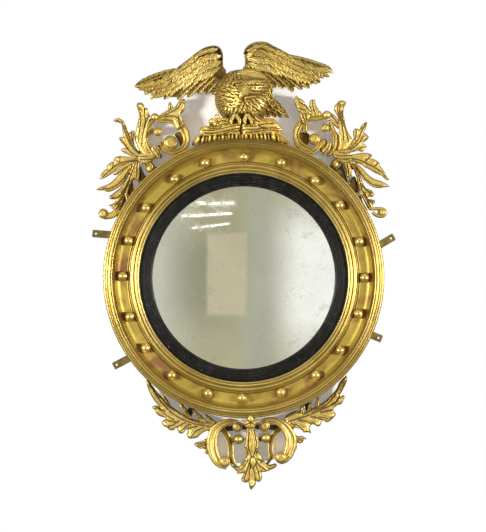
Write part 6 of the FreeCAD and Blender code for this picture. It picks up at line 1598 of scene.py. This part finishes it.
for rows, yf in (
        ([(43, 367.8, 3.3), (57.1, 369.2, 4.7), (68.9, 367.3, 4.7), (76.8, 360.3, 3.3)], -93.0),
        ([(78.3, 336.3, 3.8), (86.2, 328.3, 5.2), (96.1, 321.2, 4.7), (106.5, 313.7, 2.1)], -91.0),
        ([(83, 329.7, 2.8), (88.6, 322.2, 3.8), (94.7, 316.1, 2.8)], -92.5)):
    strand(sh, rows, Y0, yf, "leaf", 2, 2.2, drop=4.0, nu=17)
# fringe along the foot: eggs and lappets of uneven size with deep gaps between them
for cx, top, bot, w, lean in ((197.4, 136.2, 145.4, 3.3, -0.30), (203.0, 136.8, 144.2, 1.9, -0.22), (206.6, 137.4, 143.2, 1.3, -0.2), (209.9, 135.8, 142.8, 2.2, -0.16),
                              (215.0, 134.8, 142.0, 2.5, -0.12), (219.2, 136.8, 141.2, 1.2, -0.1), (222.9, 135.2, 141.0, 2.2, -0.1), (226.4, 135.8, 140.6, 1.0, -0.05),
                              (228.9, 134.2, 140.4, 1.6, -0.05), (232.4, 134.2, 140.2, 1.6, -0.03), (236.6, 133.8, 139.9, 1.8, 0.0), (240.0, 134.6, 139.6, 0.9, 0.0),
                              (242.5, 134.2, 139.8, 1.5, 0.02), (246.0, 133.6, 139.9, 2.0, 0.05), (250.8, 133.8, 140.0, 1.7, 0.1), (254.0, 134.6, 140.0, 0.9, 0.14),
                              (257.0, 133.8, 140.6, 1.9, 0.22), (261.4, 134.4, 140.6, 1.6, 0.22), (265.0, 133.8, 141.2, 1.7, 0.18), (268.6, 134.8, 141.0, 1.2, 0.15),
                              (273.3, 133.6, 141.8, 3.0, 0.2), (278.4, 136.8, 142.6, 1.5, 0.3)):
    half = 0.5 * (bot - top)
    ring_ = []
    for q in range(14):
        a_ = 2 * math.pi * q / 14
        v = half * math.sin(a_)
        ring_.append(at(cx + 0.80 * w * math.cos(a_) + lean * v, 0.5 * (top + bot) + v))
    relief(sh, ring_, -92.6, drop=5.0, ew=2.2, yb=-77.8, swell=7.0, step=1.3, shade=0.0)
ROCK = sh.build("rock_and_lappets", M_ROCK, replaces=["rock_plinth"])
crisp(ROCK, 62)

# ------------------------------------------------------------------ stage, lights, camera


def stage_mat(name, col, rough=0.8, one_sided=False, lift=0.0):
    m, nt, bs = new_mat(name)
    n = Nodes(nt)
    f = n.noise(3.0, 3.0, 0.5)
    n.to(n.mix(n.math("MULTIPLY", f, 0.04), col, tuple(c * 0.9 for c in col)), bs.inputs["Base Color"])
    bs.inputs["Roughness"].default_value = rough
    bs.inputs["Specular IOR Level"].default_value = 0.1
    if lift:
        bs.inputs["Emission Color"].default_value = (1.0, 0.985, 0.965, 1.0)
        bs.inputs["Emission Strength"].default_value = lift
    if one_sided:
        out = [x for x in nt.nodes if x.type == "OUTPUT_MATERIAL"][0]
        tr = nt.nodes.new("ShaderNodeBsdfTransparent")
        mx = nt.nodes.new("ShaderNodeMixShader")
        nt.links.new(n.pos.outputs["Backfacing"], mx.inputs[0])
        nt.links.new(bs.outputs[0], mx.inputs[1])
        nt.links.new(tr.outputs[0], mx.inputs[2])
        nt.links.new(mx.outputs[0], out.inputs[0])
    return m


def sheet_plane(name, corners, mat):
    me = bpy.data.meshes.new(name)
    me.from_pydata(corners, [], [(0, 1, 2, 3)])
    me.materials.append(mat)
    ob = bpy.data.objects.new(name, me)
    bpy.context.scene.collection.objects.link(ob)
    return ob


# the wall shows only through the openings of the carving; outside the outline everything is plain white
OUTLINE = [(-220.2, 365.9), (-196.7, 375.3), (-168.5, 378.8), (-149.7, 403.5), (-140.3, 417.6), (-133.2, 438.7),
     (-102.7, 455.2), (-69.8, 469.3), (-51, 483.4), (-1.6, 474), (43, 464.6), (66.5, 464.6), (99.4, 464.6),
     (122.9, 455.2), (126.2, 422.3), (139.4, 405.8), (160.5, 387), (179.3, 380), (195.8, 381.2), (212.2, 361.2),
     (221.6, 335.3), (219.3, 304.8), (235.7, 278.9), (254.5, 250.7), (273.3, 215.5), (282.7, 189.6), (268.6, 168.5),
     (301.5, 88.6), (315.6, 1.6), (296.8, -122.9), (249.8, -221.6), (228.7, -268.6), (214.6, -289.8),
     (195.8, -306.2), (172.3, -321.7), (146.4, -331.1), (122.9, -336.8), (111.2, -381.4), (106.5, -414.3),
     (85.3, -430.8), (43, -437.8), (19.5, -456.6), (-8.7, -442.5), (-43.9, -440.2), (-67.4, -419), (-72.1, -381.4),
     (-65.1, -357.9), (-90.9, -350.9), (-140.3, -336.8), (-163.8, -321.7), (-184.9, -301.5), (-202.8, -278),
     (-243.7, -221.6), (-295.4, -122.9), (-314.2, 1.6), (-300.1, 88.6), (-271.9, 168.5), (-286, 189.6),
     (-272.8, 215.5), (-257.8, 246), (-243.7, 271.9), (-229.6, 293), (-232.9, 325.9), (-231, 344.7)]
wm = bpy.data.meshes.new("stage_wall")
wm.from_pydata([(x * MM, 0.004, z * MM) for x, z in OUTLINE], [], [tuple(range(len(OUTLINE)))[::-1]])
wm.materials.append(stage_mat("stage_white", (0.92, 0.915, 0.90), one_sided=True, lift=0.17))
WALL = bpy.data.objects.new("stage_wall", wm)
bpy.context.scene.collection.objects.link(WALL)
FLOOR = sheet_plane("stage_floor", [(-6, -7, -1.3), (6, -7, -1.3), (6, 0.4, -1.3), (-6, 0.4, -1.3)], stage_mat("stage_floor", (0.86, 0.86, 0.85)))


def area(name, loc, target, size, power, col=(1, 1, 1), size_y=None, spread=180):
    ld = bpy.data.lights.new(name, "AREA")
    ld.energy = power
    ld.color = col
    ld.shape = "RECTANGLE" if size_y else "SQUARE"
    ld.size = size
    if size_y:
        ld.size_y = size_y
    ld.spread = math.radians(spread)
    ob = bpy.data.objects.new(name, ld)
    bpy.context.scene.collection.objects.link(ob)
    ob.location = loc
    d = Vector(target) - Vector(loc)
    ob.rotation_euler = d.to_track_quat("-Z", "Y").to_euler()
    return ob


FLOOR.visible_glossy = False
K1 = area("key_left", (-1.95, -1.72, 0.10), (0, -0.05, 0), 0.45, 64, (1, 0.985, 0.955), 0.45)
K2 = area("key_right", (1.95, -1.60, 0.10), (0, -0.05, 0), 0.45, 56, (1, 0.985, 0.955), 0.45)
K3 = area("top_soft", (0.0, -1.5, 2.5), (0, 0, 0.1), 1.2, 10, (1, 1, 1), 0.8)

# studio seen in the gilding and the convex glass: warm grey room, a bright side to the right,
# three tube lamps up on the left and a pale panel
world = bpy.data.worlds.new("studio")
bpy.context.scene.world = world
world.use_nodes = True
wn = world.node_tree
wn.nodes.clear()
n = Nodes(wn)
d = n.sep(n.co.outputs["Generated"])
front = n.ramp(n.math("MULTIPLY", d[1], -1.0), [(0.66, 0.0), (0.82, 1.0)], "EASE")
dx, dz = d[0], d[2]


def shifted(v, k=1.0, o=0.0):
    return n.math("ADD", n.math("MULTIPLY", v, k), o)


ux = shifted(dx, 0.5, 0.5)          # 0..1 across
uz = shifted(dz, 0.5, 0.5)


def box(u, lo, hi, soft):
    a = n.ramp(u, [(0.5 + 0.5 * (lo - soft), 0.0), (0.5 + 0.5 * (lo + soft), 1.0)])
    b = n.ramp(u, [(0.5 + 0.5 * (hi - soft), 1.0), (0.5 + 0.5 * (hi + soft), 0.0)])
    return n.math("MULTIPLY", a, b)


room = n.ramp(uz, [(0.28, (0.46, 0.435, 0.275)), (0.42, (0.40, 0.39, 0.265)), (0.56, (0.385, 0.375, 0.26)), (0.72, (0.45, 0.405, 0.225))])
room = n.mix(box(ux, -0.60, -0.30, 0.09), room, (0.58, 0.59, 0.48))
room = n.mix(n.math("MULTIPLY", box(ux, -0.30, -0.10, 0.09), box(uz, -0.20, 0.16, 0.10)), room, (0.31, 0.31, 0.205))
room = n.mix(box(ux, 0.00, 0.16, 0.05), room, (0.43, 0.44, 0.335))
white = n.math("MULTIPLY", n.ramp(ux, [(0.545, 0.0), (0.645, 1.0)], "EASE"), n.math("MULTIPLY", n.ramp(uz, [(0.27, 0.15), (0.40, 1.0)]), n.ramp(uz, [(0.60, 1.0), (0.70, 0.25)])))
room = n.mix(white, room, (0.97, 0.975, 0.93))
panel = n.math("MULTIPLY", box(ux, -0.178, 0.016, 0.006), box(uz, -0.190, 0.214, 0.010))
room = n.mix(panel, room, (0.56, 0.505, 0.345))


def tube(x0, x1, z0, slope, sag, half):
    mid = 0.5 * (x0 + x1)
    q = n.math("ADD", dx, -mid)
    zc = n.math("ADD", n.math("ADD", n.math("MULTIPLY", q, slope), n.math("MULTIPLY", n.math("MULTIPLY", q, q), sag)), z0)
    off = n.math("ABSOLUTE", n.math("SUBTRACT", dz, zc))
    return n.math("MULTIPLY", n.ramp(n.math("MULTIPLY", off, 10.0), [(half * 7.0, 1.0), (half * 13.0, 0.0)]), box(ux, x0, x1, 0.004))


lamps = n.math("MAXIMUM", tube(-0.268, -0.043, 0.350, -0.006, 0.50, 0.0052),
               n.math("MAXIMUM", tube(-0.305, -0.058, 0.2985, 0.068, 0.10, 0.0036), tube(-0.252, -0.072, 0.2495, 0.126, 0.0, 0.0030)))
room = n.mix(lamps, room, (2.6, 2.6, 2.45))
around = n.ramp(uz, [(0.05, (0.13, 0.125, 0.11)), (0.40, (0.24, 0.235, 0.215)), (0.75, (0.42, 0.42, 0.40)), (0.95, (0.60, 0.60, 0.58))])
glossy = n.mix(front, around, room)
lp = wn.nodes.new("ShaderNodeLightPath")
seen = n.mix(lp.outputs["Is Diffuse Ray"], glossy, (0.34, 0.34, 0.33))
seen = n.mix(lp.outputs["Is Camera Ray"], seen, (1.0, 1.0, 1.0))
bg = wn.nodes.new("ShaderNodeBackground")
wo = wn.nodes.new("ShaderNodeOutputWorld")
n.to(seen, bg.inputs[0])
n.to(bg.outputs[0], wo.inputs[0])

cam_d = bpy.data.cameras.new("camera")
cam = bpy.data.objects.new("camera", cam_d)
bpy.context.scene.collection.objects.link(cam)
DIST = 4.6
cam.location = (-0.0016, -DIST, 0.0275)
cam.rotation_euler = (math.pi / 2, 0, 0)
cam_d.sensor_fit = "VERTICAL"
cam_d.sensor_height = 24.0
cam_d.lens = 24.0 * (DIST - 0.055) / 1.2502
cam_d.clip_end = 60
bpy.context.scene.camera = cam
sv = bpy.context.scene.view_settings
sv.view_transform = "Standard"
sv.exposure = 0.0
